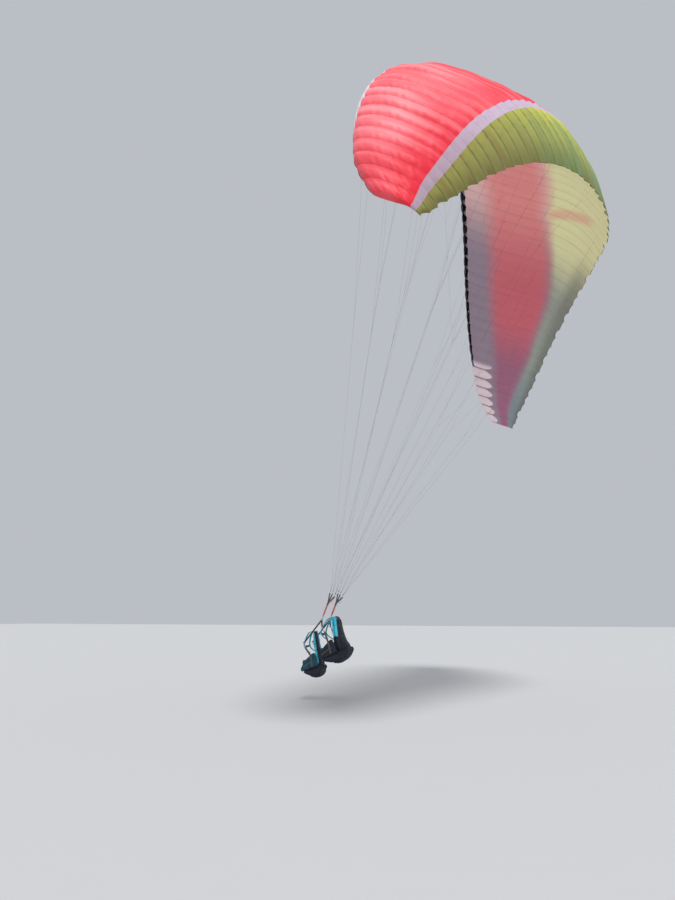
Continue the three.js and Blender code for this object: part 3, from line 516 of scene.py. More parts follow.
class Shape:
    # Gathers vertices, faces and values on them, and makes one object of it all
    def __init__(self):
        self.points, self.faces, self.marks, self.count, self.slots, self.materials = [], [], {}, 0, [], []

    def add(self, points, faces, material, **marks):
        points = np.asarray(points, float).reshape(-1, 3)
        self.faces += [tuple(k + self.count for k in face) for face in faces]
        if material not in self.materials:
            self.materials.append(material)
        self.slots += [self.materials.index(material)] * len(faces)
        for key in {**self.marks, **marks}:
            values = self.marks.setdefault(key, [np.zeros(self.count)])
            values.append(np.resize(marks.get(key, 0.0), len(points)))
        self.points.append(points)
        self.count += len(points)

    def tube(self, path, radius, sides, material, place=np.asarray, axis=(0.31, 0.94, 0.13), closed=False,
             **marks):
        # Round bar along a path; the radius may change along it, and "place" moves the finished bar
        path, turn = np.asarray(path, float), turns(sides)[:, None]
        side, out = directions(path, axis, closed)
        ring = side[:, None] * np.cos(turn) + out[:, None] * np.sin(turn)
        points = path[:, None] + ring * np.resize(radius, len(path))[:, None, None]
        self.add(place(points.reshape(-1, 3)), ringFaces(len(path), sides, closed), material, **marks)

    def strap(self, path, width, thick, axis, material, place=np.asarray, crown=0.0):
        # Flat webbing along a path: its width lies along "axis"
        path, half = np.asarray(path, float), np.resize(width, len(path)) / 2
        side, out = directions(path, axis)
        across, rise = np.array(strapSection).T
        rise = rise + crown * (1 - across * across) * np.sign(rise)
        across = across * half[:, None]
        rise = (rise * thick / 2)[:, None]
        points = path[:, None] + side[:, None] * across[..., None] + out[:, None] * rise
        self.add(place(points.reshape(-1, 3)), ringFaces(*across.shape), material, across=across,
                 along=np.repeat(lengths(path), len(rise)), half=np.repeat(half, len(rise)))

    def build(self, name, body, slot, replaced=None, sharp=None):
        # A piece with a node's name stands for that node, and upper_front_left is called upperFrontLeft
        first, *rest = name.split("_")
        piece, replaced = first + "".join(word.title() for word in rest), replaced or name
        mesh = bpy.data.meshes.new(piece)
        mesh.from_pydata(np.concatenate(self.points).tolist(), [], self.faces)
        for key, values in self.marks.items():
            mark(mesh, key, np.concatenate(values))
        for material in self.materials:
            mesh.materials.append(material)
        mesh.polygons.foreach_set("material_index", self.slots)
        mesh.polygons.foreach_set("use_smooth", [True] * len(mesh.polygons))
        if sharp is not None:
            mesh.update(calc_edges=True)
            ends = np.zeros(len(mesh.edges) * 2, int)
            mesh.edges.foreach_get("vertices", ends)
            both = sharp[ends.reshape(-1, 2)].all(axis=1)
            mesh.attributes.new("sharp_edge", "BOOLEAN", "EDGE").data.foreach_set("value", both)
        mesh.update()
        made = linked(piece, mesh)
        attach(made, body)
        if replaced in nodes:
            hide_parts(replaced)
        return made


def recoat(node, material):
    # A solid that is shown as it is gets its finish
    node.data.materials.clear()
    node.data.materials.append(material)


canopy = {
    "flatSpan": 15.12, "rootChord": 3.795, "tipShare": 0.17, "fullness": 1.154, "blend": 0.127,
    "tipSlope": 70.8, "sweep": 1.455, "sweepPower": 3.61, "noseAhead": 1.138, "incidence": 8.2,
    "twistPoint": 0.3, "lineHeight": 9.85, "leanBack": 22.2, "thickness": 0.155, "camber": 0.03,
    "camberAt": 0.3, "brakeDrop": 0.196, "brakeFrom": 0.62, "brakeEase": 0.16, "tipRoundFrom": 0.92,
    "tipRound": 0.19, "cells": 27, "taper": 0.1, "openCells": 21, "intakeTop": 0.008, "intakeBottom": 0.055,
    "stripeFront": (0.671, 0.779), "stripeRear": (0.707, 0.882),
    "steps": 10,             # columns in each cell
    "onRib": 1e-9,           # how near a rib a column stands on it
    "upperBillow": 0.135,    # how far a cell stands out, share of its width
    "lowerBillow": 0.085,
    "tipBillow": 0.15,       # the same under the nose of the closed cells
    "scallop": 0.040,        # how far the trailing edge is drawn in between ribs
    "pucker": 0.0055,        # height of the small folds beside the seams
    "puckerLengths": (0.145, 0.093),
    "slack": 0.009,          # height of the broad waves in the cloth
    "slackLength": 0.62,
    "ribTo": 0.45,           # how far back the ribs' fronts show, as the root of the chord's share
    "ribHigh": 0.45,         # and how high they are in metres
    "sections": {"right": (-27, -9), "centre": (-9, 9), "left": (9, 27)},
    "tipSize": (0.70, 0.645),   # flat length of a closed tip, and its chord
}


def ribEta(rib):
    # Share of the half span at which a rib stands: the cells narrow towards the tips
    count = np.abs(rib) / canopy["cells"]
    return np.sign(rib) * (count * (1 + canopy["taper"]) - canopy["taper"] * count ** 5)


def sectionAt(t, brake):
    # The wing's section: t runs from -1 below the trailing edge over 0 at the nose to 1 above it
    x = t * t
    half = 5 * canopy["thickness"] * (0.2969 * np.abs(t) - 0.126 * x - 0.3516 * x ** 2 + 0.2843 * x ** 3
                                      - 0.1036 * x ** 4)
    m, p = canopy["camber"], canopy["camberAt"]
    mean = np.where(x < p, m / p ** 2 * (2 * p * x - x * x),
                    m / (1 - p) ** 2 * (1 - 2 * p + 2 * p * x - x * x))
    drop = brake * np.maximum(0, (x - canopy["brakeFrom"]) / (1 - canopy["brakeFrom"])) ** 2
    return x, mean + np.sign(t) * half - drop


def narrowing(reach):
    blend, full = canopy["blend"], canopy["fullness"]

    def power(r):
        return (r * r + blend ** 2) ** (full / 2) - blend ** full
    return power(reach) / power(1.0)


def station(eta):
    # Chord, nose, slope, place across and up, and brake travel at a share of the half span
    reach, sign = np.abs(eta), np.sign(eta)
    slope = math.radians(canopy["tipSlope"]) * reach
    radius = canopy["flatSpan"] / 2 / math.radians(canopy["tipSlope"])
    chord = canopy["rootChord"] * np.sqrt(1 - (1 - canopy["tipShare"] ** 2) * narrowing(reach))
    rounding = np.maximum(0, (reach - canopy["tipRoundFrom"]) / (1 - canopy["tipRoundFrom"]))
    swept = canopy["sweep"] * reach ** canopy["sweepPower"]
    nose = canopy["noseAhead"] - swept - canopy["tipRound"] * rounding ** 2
    brake = canopy["brakeDrop"] * (1 - canopy["brakeEase"] * np.sin(math.pi * reach))
    up = canopy["lineHeight"] - radius * (1 - np.cos(slope))
    return chord, nose, slope * sign, radius * np.sin(slope) * sign, up, brake


def leaned(points):
    # From the hang frame, which leans back, to the part's frame
    lean = math.radians(canopy["leanBack"])
    x, y, z = points[..., 0], points[..., 1], points[..., 2]
    return np.stack([x * math.cos(lean) - z * math.sin(lean), y, x * math.sin(lean) + z * math.cos(lean)],
                    -1) + hangPoint


def canopyPoint(eta, t, lift=0.0, forward=0.0):
    # A point of the skin, "lift" metres out of its surface and "forward" metres towards the nose
    eta, t, lift, forward = np.broadcast_arrays(*[np.asarray(v, float) for v in (eta, t, lift, forward)])
    chord, nose, slope, y, z, brake = station(eta)
    x, rise = sectionAt(t, brake)
    (x0, z0), (x1, z1) = sectionAt(t - 1e-3, brake), sectionAt(t + 1e-3, brake)
    run = np.hypot(x1 - x0, z1 - z0)
    back = x * chord - (z1 - z0) / run * lift - forward
    rise = rise * chord + (x1 - x0) / run * lift
    turned = math.radians(canopy["incidence"])
    fromPivot = canopy["twistPoint"] * chord - back
    ahead = nose - canopy["twistPoint"] * chord + fromPivot * math.cos(turned) - rise * math.sin(turned)
    up = fromPivot * math.sin(turned) + rise * math.cos(turned)
    return leaned(np.stack([ahead, y + up * np.sin(slope), z + up * np.cos(slope)], -1))


def bandEdge(edge, eta):
    root, tip = canopy[edge]
    return np.sqrt(root + (tip - root) * eta * eta)


def billowAt(t, across, upper):
    # How full a cell stands along the chord; every cell is filled a little differently
    x, cell = t * t, np.floor(across)
    rise = np.clip((x + 0.004) / 0.05, 0, 1) ** 0.5 * (0.78 + 0.22 * np.exp(-((x - 0.25) / 0.2) ** 2))
    fall = np.clip((1 - x) / 0.5, 0, 1) ** 0.7
    full = 1 + 0.22 * np.sin(cell * 2.4) + 0.12 * np.sin(cell * 5.3 + 1.0)
    if upper:
        return canopy["upperBillow"] * full * rise * (0.2 + 0.8 * fall)
    closed = np.clip((np.abs(across) - canopy["openCells"] + 1.0) / 2.0, 0, 1)
    lobe = canopy["tipBillow"] * closed * np.clip(x / 0.03, 0, 1) ** 0.5 * np.clip((0.36 - x) / 0.2, 0, 1)
    return canopy["lowerBillow"] * full * rise * (0.3 + 0.7 * fall) + lobe


def surfaceArea(points):
    a, b, c, d = points[:-1, :-1], points[:-1, 1:], points[1:, 1:], points[1:, :-1]
    first, second = [np.linalg.norm(np.cross(one - a, other - a), axis=2) for one, other in ((b, c), (c, d))]
    return 0.5 * (first + second).sum()


def skin(band, section, rowsAt, count, upper, material, slot):
    # One band of cloth from one rib to another, bulging between the ribs
    first, last = canopy["sections"][section]
    across = np.arange(first * canopy["steps"], last * canopy["steps"] + 1) / canopy["steps"]
    # a column on a rib counts to the cell beyond it
    beyond = across + canopy["onRib"]
    eta, cell = ribEta(across), np.floor(beyond)
    low, high = rowsAt(across)
    t = low + (high - low) * np.linspace(0, 1, count)[:, None]
    inCell = across - cell
    bulge = 1 - (2 * inCell - 1) ** 2
    width = np.abs(ribEta(cell + 1) - ribEta(cell)) * canopy["flatSpan"] / 2
    x = t * t
    metres = x * station(eta)[0]
    # short folds beside each seam, where the stitching gathers the cloth, other ones in each cell
    fullTurn = 6.283
    phase = fullTurn * np.modf(np.abs(np.sin(cell * 12.9898) * 43758.5453))[0]
    long, short = [metres * fullTurn / length for length in canopy["puckerLengths"]]
    folds = np.sin(long + phase) * 0.6 + np.sin(short + 2.1 * phase) * 0.4
    toRib = np.minimum(inCell, 1 - inCell) * width
    gather = np.exp(-((toRib - 0.045) / 0.035) ** 2) * np.clip((1 - x) * 6, 0, 1) * np.clip(x * 20, 0, 1)
    # broad slack across the cell, and long oblique waves that run over several cells
    slack = np.sin(metres * fullTurn / canopy["slackLength"] + phase * 1.7) * 0.6 * bulge
    wave = np.sin(across * 1.37 + metres * 1.1) * np.sin(across * 0.53 - metres * 0.7 + 1.3) * bulge
    loose = canopy["slack"] * (slack + wave) * np.clip((1 - x) * 3, 0, 1) * np.clip(x * 12, 0, 1)
    lift = billowAt(t, beyond, upper) * width * bulge + canopy["pucker"] * folds * gather + loose
    notch = (1 + 0.5 * np.sin(cell * 3.7)) * bulge
    forward = canopy["scallop"] * notch * np.clip((x - 0.9) / 0.1, 0, 1) ** 2
    points = canopyPoint(eta, t, lift, forward)
    shape = Shape()
    shape.add(points, gridFaces(*t.shape, flip=not upper), material, across=across, along=metres,
              chordShare=x, reach=eta)
    made = shape.build(f"{band}_{section}", "wing", slot, sharp=np.resize(inCell == 0, t.size))
    flat = (np.linalg.norm(np.diff(points, axis=1), axis=2).sum(1).max(),
            np.linalg.norm(np.diff(points, axis=0), axis=2).sum(0).max())
    min(surfaceArea(points), flat[0] * flat[1])


def upperRows(band):
    # Where a band of the upper skin starts and ends
    def rowsAt(across):
        eta = ribEta(across)
        edges = [np.full_like(eta, -math.sqrt(canopy["intakeTop"])), bandEdge("stripeFront", eta),
                 bandEdge("stripeRear", eta), np.ones_like(eta)]
        return edges[band:band + 2]
    return rowsAt


def lowerRows(across):
    # The lower skin starts at the intake's lower lip, or right under the nose in a closed cell
    middle = np.abs(np.floor(across) + 0.5)
    cell = np.where(across == np.round(across), np.maximum(np.abs(across) - 0.5, 0.5), middle)
    lip = np.where(cell < canopy["openCells"], canopy["intakeBottom"], canopy["intakeTop"])
    return -np.sqrt(lip), -np.ones_like(across)


for section in canopy["sections"]:
    # band, rows of vertices, finish, slot
    for at, (band, count, material, slot) in enumerate((("upper_front", 96, redCloth, "red_cloth"),
                                                        ("upper_stripe", 7, paleCloth, "pale_cloth"),
                                                        ("upper_rear", 32, greenCloth, "green_cloth"))):
        skin(band, section, upperRows(at), count, True, material, slot)
    skin("lower_skin", section, lowerRows, 96, False, lowerCloth, "white_cloth")
print("canopy skins made")


def ribSheets():
    # Cloth ribs: the front of each one that an intake shows
    openTo, top, high = canopy["openCells"], -math.sqrt(canopy["intakeTop"]), canopy["ribHigh"]
    for section, (first, last) in canopy["sections"].items():
        shape = Shape()
        for rib in range(max(first, -openTo), min(last, openTo) + 1):
            if rib == last and rib > 0:
                continue
            upper = np.linspace(top, canopy["ribTo"], 30)
            x, eta = upper ** 2, ribEta(rib)
            lower = np.where(upper < 0, upper, -np.sqrt(np.maximum(x, canopy["intakeBottom"])))
            above, below = canopyPoint(eta, upper, -0.002), canopyPoint(eta, lower, -0.002)
            points = below + (above - below) * np.linspace(0, 1, 5)[:, None, None]
            shape.add(points, gridFaces(5, 30), ribCloth, across=0.5, along=x * station(eta)[0], chordShare=x,
                      reach=eta, rib=1.0)
        # dark lining just inside the nose, a sheet of painted shade where the inside of the cells is unlit
        across = np.linspace(max(first, 0.5 - openTo), min(last, openTo - 0.5), 40)
        t = np.linspace(top, 0.5, 12)[:, None]
        shape.add(canopyPoint(ribEta(across), t, -0.016), gridFaces(12, 40), ribCloth, across=0.5, along=0.1,
                  chordShare=0.5, reach=0.0, rib=0.0)
        made = shape.build(f"ribs{section.title()}", "wing", "white_cloth")


def tipEnds():
    # The small rib that closes each tip, rounded outwards, in the colours of the upper skin
    long, chord = canopy["tipSize"]
    for sideName, side in reversed(sides):
        shape = Shape()
        front, rear = bandEdge("stripeFront", side), bandEdge("stripeRear", side)
        for low, high, material in ((-0.089, front, redCloth), (front, rear, paleCloth),
                                    (rear, 0.999, greenCloth)):
            upper = np.linspace(low, high, 24)
            top, bottom = canopyPoint(side, upper), canopyPoint(side, np.where(upper < 0, upper, -upper))
            share = np.linspace(0, 1, 9)[:, None, None]
            out = top - canopyPoint(side * 0.99, upper)
            out /= np.linalg.norm(out, axis=1)[:, None]
            deep = np.linalg.norm(top - bottom, axis=1)[:, None]
            points = bottom + (top - bottom) * share + out * deep * 0.9 * share * (1 - share)
            shape.add(points, gridFaces(9, 24, flip=side > 0), material, across=0.5, along=upper ** 2 * chord,
                      chordShare=upper ** 2, reach=side)
        made = shape.build(f"tip{sideName.title()}", "wing", "red_cloth")


ribSheets()
tipEnds()
print("ribs made")

rigging = {
    # chord share on the lower skin, and the riser's top ahead of and above the hang point
    "rows": {"a": (0.10, 0.034, 0.520), "b": (0.34, -0.014, 0.520), "c": (0.62, -0.074, 0.498)},
    "mainRibs": ((2, 6), (10, 14), (18, 23)),   # ribs that each main line holds
    "brakeRibs": ((4, 11, 18, 24),),
    "fork": 0.66, "topFork": 0.86,
    "mainRadius": 0.0011, "upperRadius": 0.0008, "topRadius": 0.0006,
    "linkTop": 0.0343,
    "brakeClip": (-0.050, 0.2433, 0.448),
    "hangHalf": 0.235,
}


def lineRow(node, side, start, groups, seatT, lower, upper):
    # Main lines from one point, each with upper lines from its knot, each of those with two top lines
    shape, start = Shape(), leaned(np.array(start))

    def run(a, b, radius, material, steps):
        shape.tube(a + (b - a) * np.linspace(0, 1, steps)[:, None], rigging[radius], 6, material)

    def sleeve(a, b, before, radii):
        # sewn end of the line from a to b
        shape.tube([b - (b - a) / np.linalg.norm(b - a) * d for d in before], radii, 6, lower)

    def seatOf(rib):
        return canopyPoint(ribEta(rib), seatT(rib), 0.0009)

    for ribs in groups:
        seats = {side * rib: seatOf(side * rib) for rib in ribs}
        knot = start + (np.mean(list(seats.values()), axis=0) - start) * rigging["fork"]
        run(start, knot, "mainRadius", lower, 12)
        for rib, seat in seats.items():
            run(knot, seat, "upperRadius", upper, 8)
            sleeve(knot, seat, (0.03, 0.016, 0.0), [0.0012, 0.0022, 0.0016])
            split = knot + (seat - knot) * rigging["topFork"]
            for other in (rib - side, rib + side):
                run(split, seatOf(other), "topRadius", upper, 4)
        sleeve(start, knot, (0.05, 0.03, 0.0, -0.02), [0.0012, 0.0021, 0.0023, 0.0012])
    # a tidy wrap where the lines meet
    shape.tube([start + [0, 0, d] for d in (-0.001, 0.012, 0.03)], [0.004, 0.0052, 0.003], 10, blackPlastic)
    shape.build(node, "wing", "line")


def brakeSeat(rib):
    rear = bandEdge("stripeRear", ribEta(rib))
    return -(rear + (1 - rear) * 0.75)


for sideName, side in sides:
    for row, (chordAt, riserX, riserZ) in rigging["rows"].items():
        start = [riserX, side * rigging["hangHalf"], riserZ + rigging["linkTop"]]
        lineRow(f"lines_{row}_{sideName}", side, start, rigging["mainRibs"], lambda rib: -math.sqrt(chordAt),
                redLine if row == "a" else darkLine, darkLine)
    start = np.array(rigging["brakeClip"]) * [1, side, 1]
    lineRow(f"brake_lines_{sideName}", side, start, rigging["brakeRibs"], brakeSeat, brakeLine, brakeLine)
print("lines made")

riser = {
    "foot": 0.0896, "fork": 0.35, "width": 0.024, "thick": 0.0040,
    "trunkRises": (0.11, 0.13, 0.2, 0.28), "trunkWidth": 0.034, "layer": 0.0043,
    "rowOffset": {"a": 0.0018, "b": 0.0, "c": -0.0018},
    "linkHalf": (0.009, 0.017), "linkBar": 0.002,
    "carabinerWidth": 0.036, "carabinerHeight": 0.082, "corner": 0.011, "bar": 0.005,
    "eye": 0.0056, "loopWidth": 0.014, "loopThick": 0.0044,
    "gripTop": -0.0048, "gripNarrow": 0.97,   # the brake handle from its clip
}
# Brake handle, forwards and up from its top, in millimetres
handleOutline = ((-26, -60), (-26, -20), (-8, 0), (8, 0), (26, -20), (26, -60), (10, -72), (-10, -72))
# Carabiner gate: from, to, radius
gateParts = ((0.024, 0.058, 0.0064), (0.0215, 0.024, 0.0058), (0.058, 0.0605, 0.0058))


def spread(corners, steps):
    # The straight runs between the corners, with a few points on each
    corners = np.asarray(corners, float)
    shares = np.linspace(0, 1, steps, endpoint=False)
    path = [a + (b - a) * share for a, b in zip(corners, corners[1:]) for share in shares]
    return np.array(path + [corners[-1]])


def carabinerPath():
    half, tall, corner = riser["carabinerWidth"] / 2, riser["carabinerHeight"], riser["corner"]
    path = []
    for cy, cz, start in ((1, 0, -90), (1, 1, 0), (-1, 1, 90), (-1, 0, 180)):
        for turn in np.linspace(0, 90, 7):
            angle = math.radians(start + turn)
            path.append((0.0, cy * (half - corner) + corner * math.cos(angle),
                         (tall - corner if cz else corner) + corner * math.sin(angle)))
    return path


def addCarabiner(shape, place, material, side):
    shape.tube(carabinerPath(), riser["bar"], 12, material, place, forwards, closed=True)
    for low, high, radius in gateParts:
        path = [(0, side * riser["carabinerWidth"] / 2, z) for z in np.linspace(low, high, 12)]
        ribbing = radius + 0.0003 * np.cos(np.arange(12) * math.pi) if high - low > 0.01 else radius
        shape.tube(path, ribbing, 16, anodised if material is alloy else alloy, place, forwards)


def addLoop(shape, place, centreZ, outward):
    # Webbing round a bar that runs from side to side, closing into the strap above or below it
    radius = riser["eye"] + riser["loopThick"] / 2 + 0.0001
    path = [(radius * math.sin(turn), 0, centreZ - outward * radius * math.cos(turn))
            for turn in np.radians(np.linspace(-140, 140, 15))]
    shape.strap(path, riser["loopWidth"], riser["loopThick"], sideways, blackWebbing, place)


def ringAt(x, y, z, wide, tall, count):
    # A ring that faces sideways
    turn = turns(count)
    return np.stack([x + wide * np.cos(turn), 0 * turn + y, z + tall * np.sin(turn)], -1)


def makeRiser(sideName, onRiser):
    ahead = leaned(np.array([1.0, 0, 0])) - leaned(np.zeros(3))
    fork, wide, thick = riser["fork"], riser["width"], riser["thick"]
    straps = Shape()
    addLoop(straps, onRiser, riser["carabinerHeight"], 1)
    trunk = smoothPath([(0, 0, z) for z in (riser["foot"], *riser["trunkRises"], fork - 0.01)])
    widths = np.interp(trunk[:, 2], [riser["foot"], 0.125], [0.018, riser["trunkWidth"]])
    for layer, material in ((1, redWebbing), (0, blackWebbing), (-1, redWebbing)):
        straps.strap(onRiser(trunk + [0, layer * riser["layer"], 0]), widths, thick, ahead, material)
    for row, (_, topX, topZ) in rigging["rows"].items():
        low = riser["rowOffset"][row]
        path = smoothPath([(0, low, fork - 0.05), (topX * 0.06, low, fork - 0.015),
                           (topX * 0.3, low, fork + 0.03), (topX * 0.93, 0, topZ - 0.03),
                           (topX, 0, topZ + 0.004)])
        straps.strap(onRiser(path), wide, thick * 1.3, ahead, blackWebbing)
        # bar-tack patch below the link
        straps.strap(onRiser(path[-7:-3]), wide * 0.86, thick * 1.7, ahead, greyWebbing)
        # quick link with its nut
        a, b = riser["linkHalf"]
        link = ringAt(topX, 0, topZ + b, a - 0.002, b - 0.002, 32)
        straps.tube(link, riser["linkBar"], 8, steel, onRiser, sideways, closed=True)
        nut = [(topX + a - 0.002, 0, topZ + b + d) for d in (-0.006, -0.005, 0.005, 0.006)]
        straps.tube(nut, [0.0028, 0.0034, 0.0034, 0.0028], 6, alloy, onRiser, sideways)
    # stitched cover over the fork
    cover = np.array([(0, 0, fork + z) for z in (-0.05, -0.03, 0.004)])
    straps.strap(onRiser(cover), riser["trunkWidth"] * 1.04, 0.0136, ahead, blackWebbing)
    straps.build(f"risers_{sideName}", "wing", "webbing")


def makeBrakeHandle(sideName, side, y, onRiser):
    # The handle at its line's end, and the clip that it rests on
    x, out, z = np.array(rigging["brakeClip"]) * [1, side, 1] - [0, y, 0]
    top = z + riser["gripTop"]
    across, down = smoothPath(np.array(handleOutline) / 1000, 6, closed=True).T
    grip = Shape()
    grip.tube(np.stack([x + across * riser["gripNarrow"], out + 0 * down, top + down], -1),
              np.where(down < -0.05, 0.0048, 0.0036), 10, redWebbing, onRiser, sideways, closed=True,
              along=0.1, across=0.0, half=0.004)
    grip.tube([(x, out, z + d) for d in (-0.008, -0.002, 0.003, 0.006)], [0.003, 0.0046, 0.0046, 0.0026], 10,
              blackPlastic, onRiser, sideways)
    grip.tube([(x, side * d, top) for d in (0.0028, 0.0034, 0.0062, 0.0072)], [0.005, 0.006, 0.006, 0.004],
              14, blackPlastic, onRiser, upwards)
    grip.build(f"brake_handle_{sideName}", "wing", "grip")


for sideName, side in sides:
    y = side * rigging["hangHalf"]

    def onRiser(points):
        return leaned(np.asarray(points, float) + [0, y, 0])

    carabiner = Shape()
    addCarabiner(carabiner, onRiser, steel, side)
    carabiner.build(f"main_carabiner_{sideName}", "wing", "steel")
    makeRiser(sideName, onRiser)
    makeBrakeHandle(sideName, side, y, onRiser)
print("risers made")

# Eyes ahead of and above the hang point; a steel ring and a stitched one round each, radius and bar
spreader = {"eyes": ((0.0, 0.0), (0.350, -0.420), (-0.010, -0.125)), "plate": 0.012,
            "rings": ((0.0095, 0.0018, steel), (0.0162, 0.0008, whiteThread))}
for sideName, side in sides:
    recoat(nodes[f"spreader_{sideName}"], sleeveBlack)
    eyelets = Shape()
    for x, z in spreader["eyes"]:
        for face in (-1, 1):
            y = side * rigging["hangHalf"] + face * (spreader["plate"] / 2)
            for radius, bar, material in spreader["rings"]:
                ring = ringAt(x, y, z, radius, radius, 28) + hangPoint
                eyelets.tube(ring, bar, 6, material, axis=sideways, closed=True)
    eyelets.build(f"spreaderEyes{sideName.title()}", "spreaders", "steel")
print("spreaders dressed")

harnesses = {
    "pilot": {
        "eye": (-0.010, -0.125), "lean": 25, "corner": (-0.050, -0.485), "depth": 0.350, "width": 0.400,
        "back": 0.590, "recline": 16, "container": 0.245, "airbag": 0.205, "bagRear": -0.63,
        "accentFrom": 0.40, "hip": blackNylon, "pad": pilotPanels,
    },
    "passenger": {
        "eye": (0.350, -0.420), "lean": 20, "corner": (-0.100, -0.440), "depth": 0.330, "width": 0.380,
        "back": 0.590, "recline": 10, "container": 0.0, "airbag": 0.200, "bagRear": -0.14,
        "accentFrom": -0.1, "hip": tealNylon, "pad": passengerPanels,
    },
}
padGap = 0.0003              # between a pad and what it lies against
backHalf = 0.015             # half the back pad's thickness

# Rise along the back, half width as a share of the seat's, thickness as a share of the container's
containerRows = ((0.12, 0.45, 0.78), (0.25, 0.46, 0.60), (0.43, 0.46, 0.47), (0.67, 0.43, 0.40),
                 (0.90, 0.39, 0.37), (1.03, 0.29, 0.20))
containerSole = (0.42, 0.80)   # the last two for its sole
backRows = ((0.0, 0.33), (0.03, 0.36), (0.35, 0.44), (0.7, 0.42), (0.97, 0.33), (1.0, 0.28))
# Place from the rear to the front of the bag, thickness as a share of the bag's
airbagRows = ((0.0, 0.36), (0.06, 0.52), (0.17, 0.78), (0.35, 0.95), (0.57, 0.93), (0.79, 0.56), (1.0, 0.22))
bagFront = 0.92              # where it ends, as a share of the seat's depth

stuffing = {
    "voxel": 0.008, "pressure": 4.0, "frames": 20, "cap": 0.012, "spare": -0.06,
    "pinned": 0.007,         # how near a seam the cloth is held
    "groove": 0.0035, "grooveHalf": 0.006,
    "sides": 48, "square": (0.42, 0.6),   # how square a pad is across and through
}


def placer(kit):
    # From the harness's own frame, upright at its eye, to the part's, and back
    lean = math.radians(kit["lean"])
    at = hangPoint + [kit["eye"][0], 0, kit["eye"][1]]
    turn = np.array([[math.cos(lean), 0, math.sin(lean)], [0, 1, 0], [-math.sin(lean), 0, math.cos(lean)]])
    return (lambda points: np.asarray(points, float) @ turn.T + at), (lambda points: (points - at) @ turn)


def apply(made):
    for other in bpy.context.selected_objects:
        other.select_set(False)
    made.select_set(True)
    bpy.context.view_layer.objects.active = made
    for modifier in list(made.modifiers):
        bpy.ops.object.modifier_apply(modifier=modifier.name)


def coordinates(mesh, kind="co"):
    flat = np.zeros(len(mesh.vertices) * 3)
    mesh.vertices.foreach_get(kind, flat)
    return flat.reshape(-1, 3)


def inflate(made, toSeam):
    # Swells the piece with the cloth solver, held along its seams
    before = coordinates(made.data)
    held = made.vertex_groups.new(name="seams")
    held.add(np.nonzero(toSeam(before) < stuffing["pinned"])[0].tolist(), 1.0, "REPLACE")
    solver = made.modifiers.new("cloth", "CLOTH")
    settings, frames = solver.settings, stuffing["frames"]
    settings.vertex_group_mass = "seams"
    settings.use_pressure = True
    settings.uniform_pressure_force = stuffing["pressure"]
    settings.shrink_min = stuffing["spare"]
    settings.effector_weights.gravity = 0
    solver.point_cache.frame_start, solver.point_cache.frame_end = 1, frames
    for step in range(1, frames + 1):
        bpy.context.scene.frame_set(step)
    shaped = made.evaluated_get(bpy.context.evaluated_depsgraph_get())
    moved = coordinates(shaped.data) - before
    far = np.maximum(np.linalg.norm(moved, axis=1), 1e-9)
    moved *= (np.minimum(far, stuffing["cap"]) / far)[:, None]
    made.modifiers.remove(solver)
    bpy.context.scene.frame_set(1)
    made.vertex_groups.clear()
    made.data.vertices.foreach_set("co", (before + moved).reshape(-1))
    made.data.update()


def puffed(node, kit, stations, material, toSeam, panel):
    # A stuffed body through stations: centre, out direction, half thickness, half width
    place, local = placer(kit)
    turn, (wideEase, thickEase) = turns(stuffing["sides"]), stuffing["square"]
    w = np.sign(np.cos(turn)) * np.abs(np.cos(turn)) ** wideEase
    h = np.sign(np.sin(turn)) * np.abs(np.sin(turn)) ** thickEase
    x, z, outX, outZ, thick, wide = smoothPath(stations, 4).T[..., None]
    rows = np.stack([x + outX * (thick * h), wide * w, z + outZ * (thick * h)], -1)
    shape = Shape()
    shape.add(place(rows), ringFaces(*rows.shape[:2]), material)
    owner = node.split("_")[0]
    made = shape.build(node, f"{owner}_harness", f"{owner}_cloth")
    remesh = made.modifiers.new("remesh", "REMESH")
    remesh.mode, remesh.voxel_size, remesh.use_smooth_shade = "VOXEL", stuffing["voxel"], True
    apply(made)
    inflate(made, lambda points: toSeam(local(points)))
    rounded = made.modifiers.new("rounded", "SUBSURF")
    rounded.levels = rounded.render_levels = 1
    apply(made)
    points, normals = coordinates(made.data), coordinates(made.data, "normal")
    gap = toSeam(local(points))
    points -= normals * (stuffing["groove"] * np.exp(-(gap / stuffing["grooveHalf"]) ** 2))[:, None]
    made.data.vertices.foreach_set("co", points.reshape(-1))
    mark(made.data, "toSeam", gap)
    mark(made.data, "panel", panel(local(points)))
    made.data.polygons.foreach_set("use_smooth", [True] * len(made.data.polygons))
    made.data.update()


def nearest(value, lines):
    return np.min([np.abs(value - line) for line in lines], axis=0)


seatPan = {
    # ahead of the seat's rear or front, how far its edges are drawn in, width as a share of the seat's
    "rear": ((-0.018, 0.006, 0.90), (0.0, 0.0, 0.985), (0.1, 0.0, 0.985)),
    "front": ((-0.06, 0.0, 0.985), (0.0, 0.002, 0.97), (0.013, 0.009, 0.92)),
    "under": 0.034,          # the pan's underside below the seat board's top
    "hipFoot": 0.030, "hipOuter": 0.0095, "hipInner": 0.0135, "hipCrown": 0.0075,
    "pocket": slice(8, 34),  # stations of the cargo pocket's edge
}


def hipEdge(xb, zb, front):
    # Upper edge of a hip panel, from the rear to the front
    return smoothPath([(xb - 0.0185, zb + 0.195), (xb - 0.006, zb + 0.206), (xb + 0.038, zb + 0.205),
                       (xb + 0.11, zb + 0.175), (xb + 0.19, zb + 0.143), (front - 0.05, zb + 0.074),
                       (front - 0.004, zb + 0.034), (front + 0.0125, zb + 0.020)], 6)


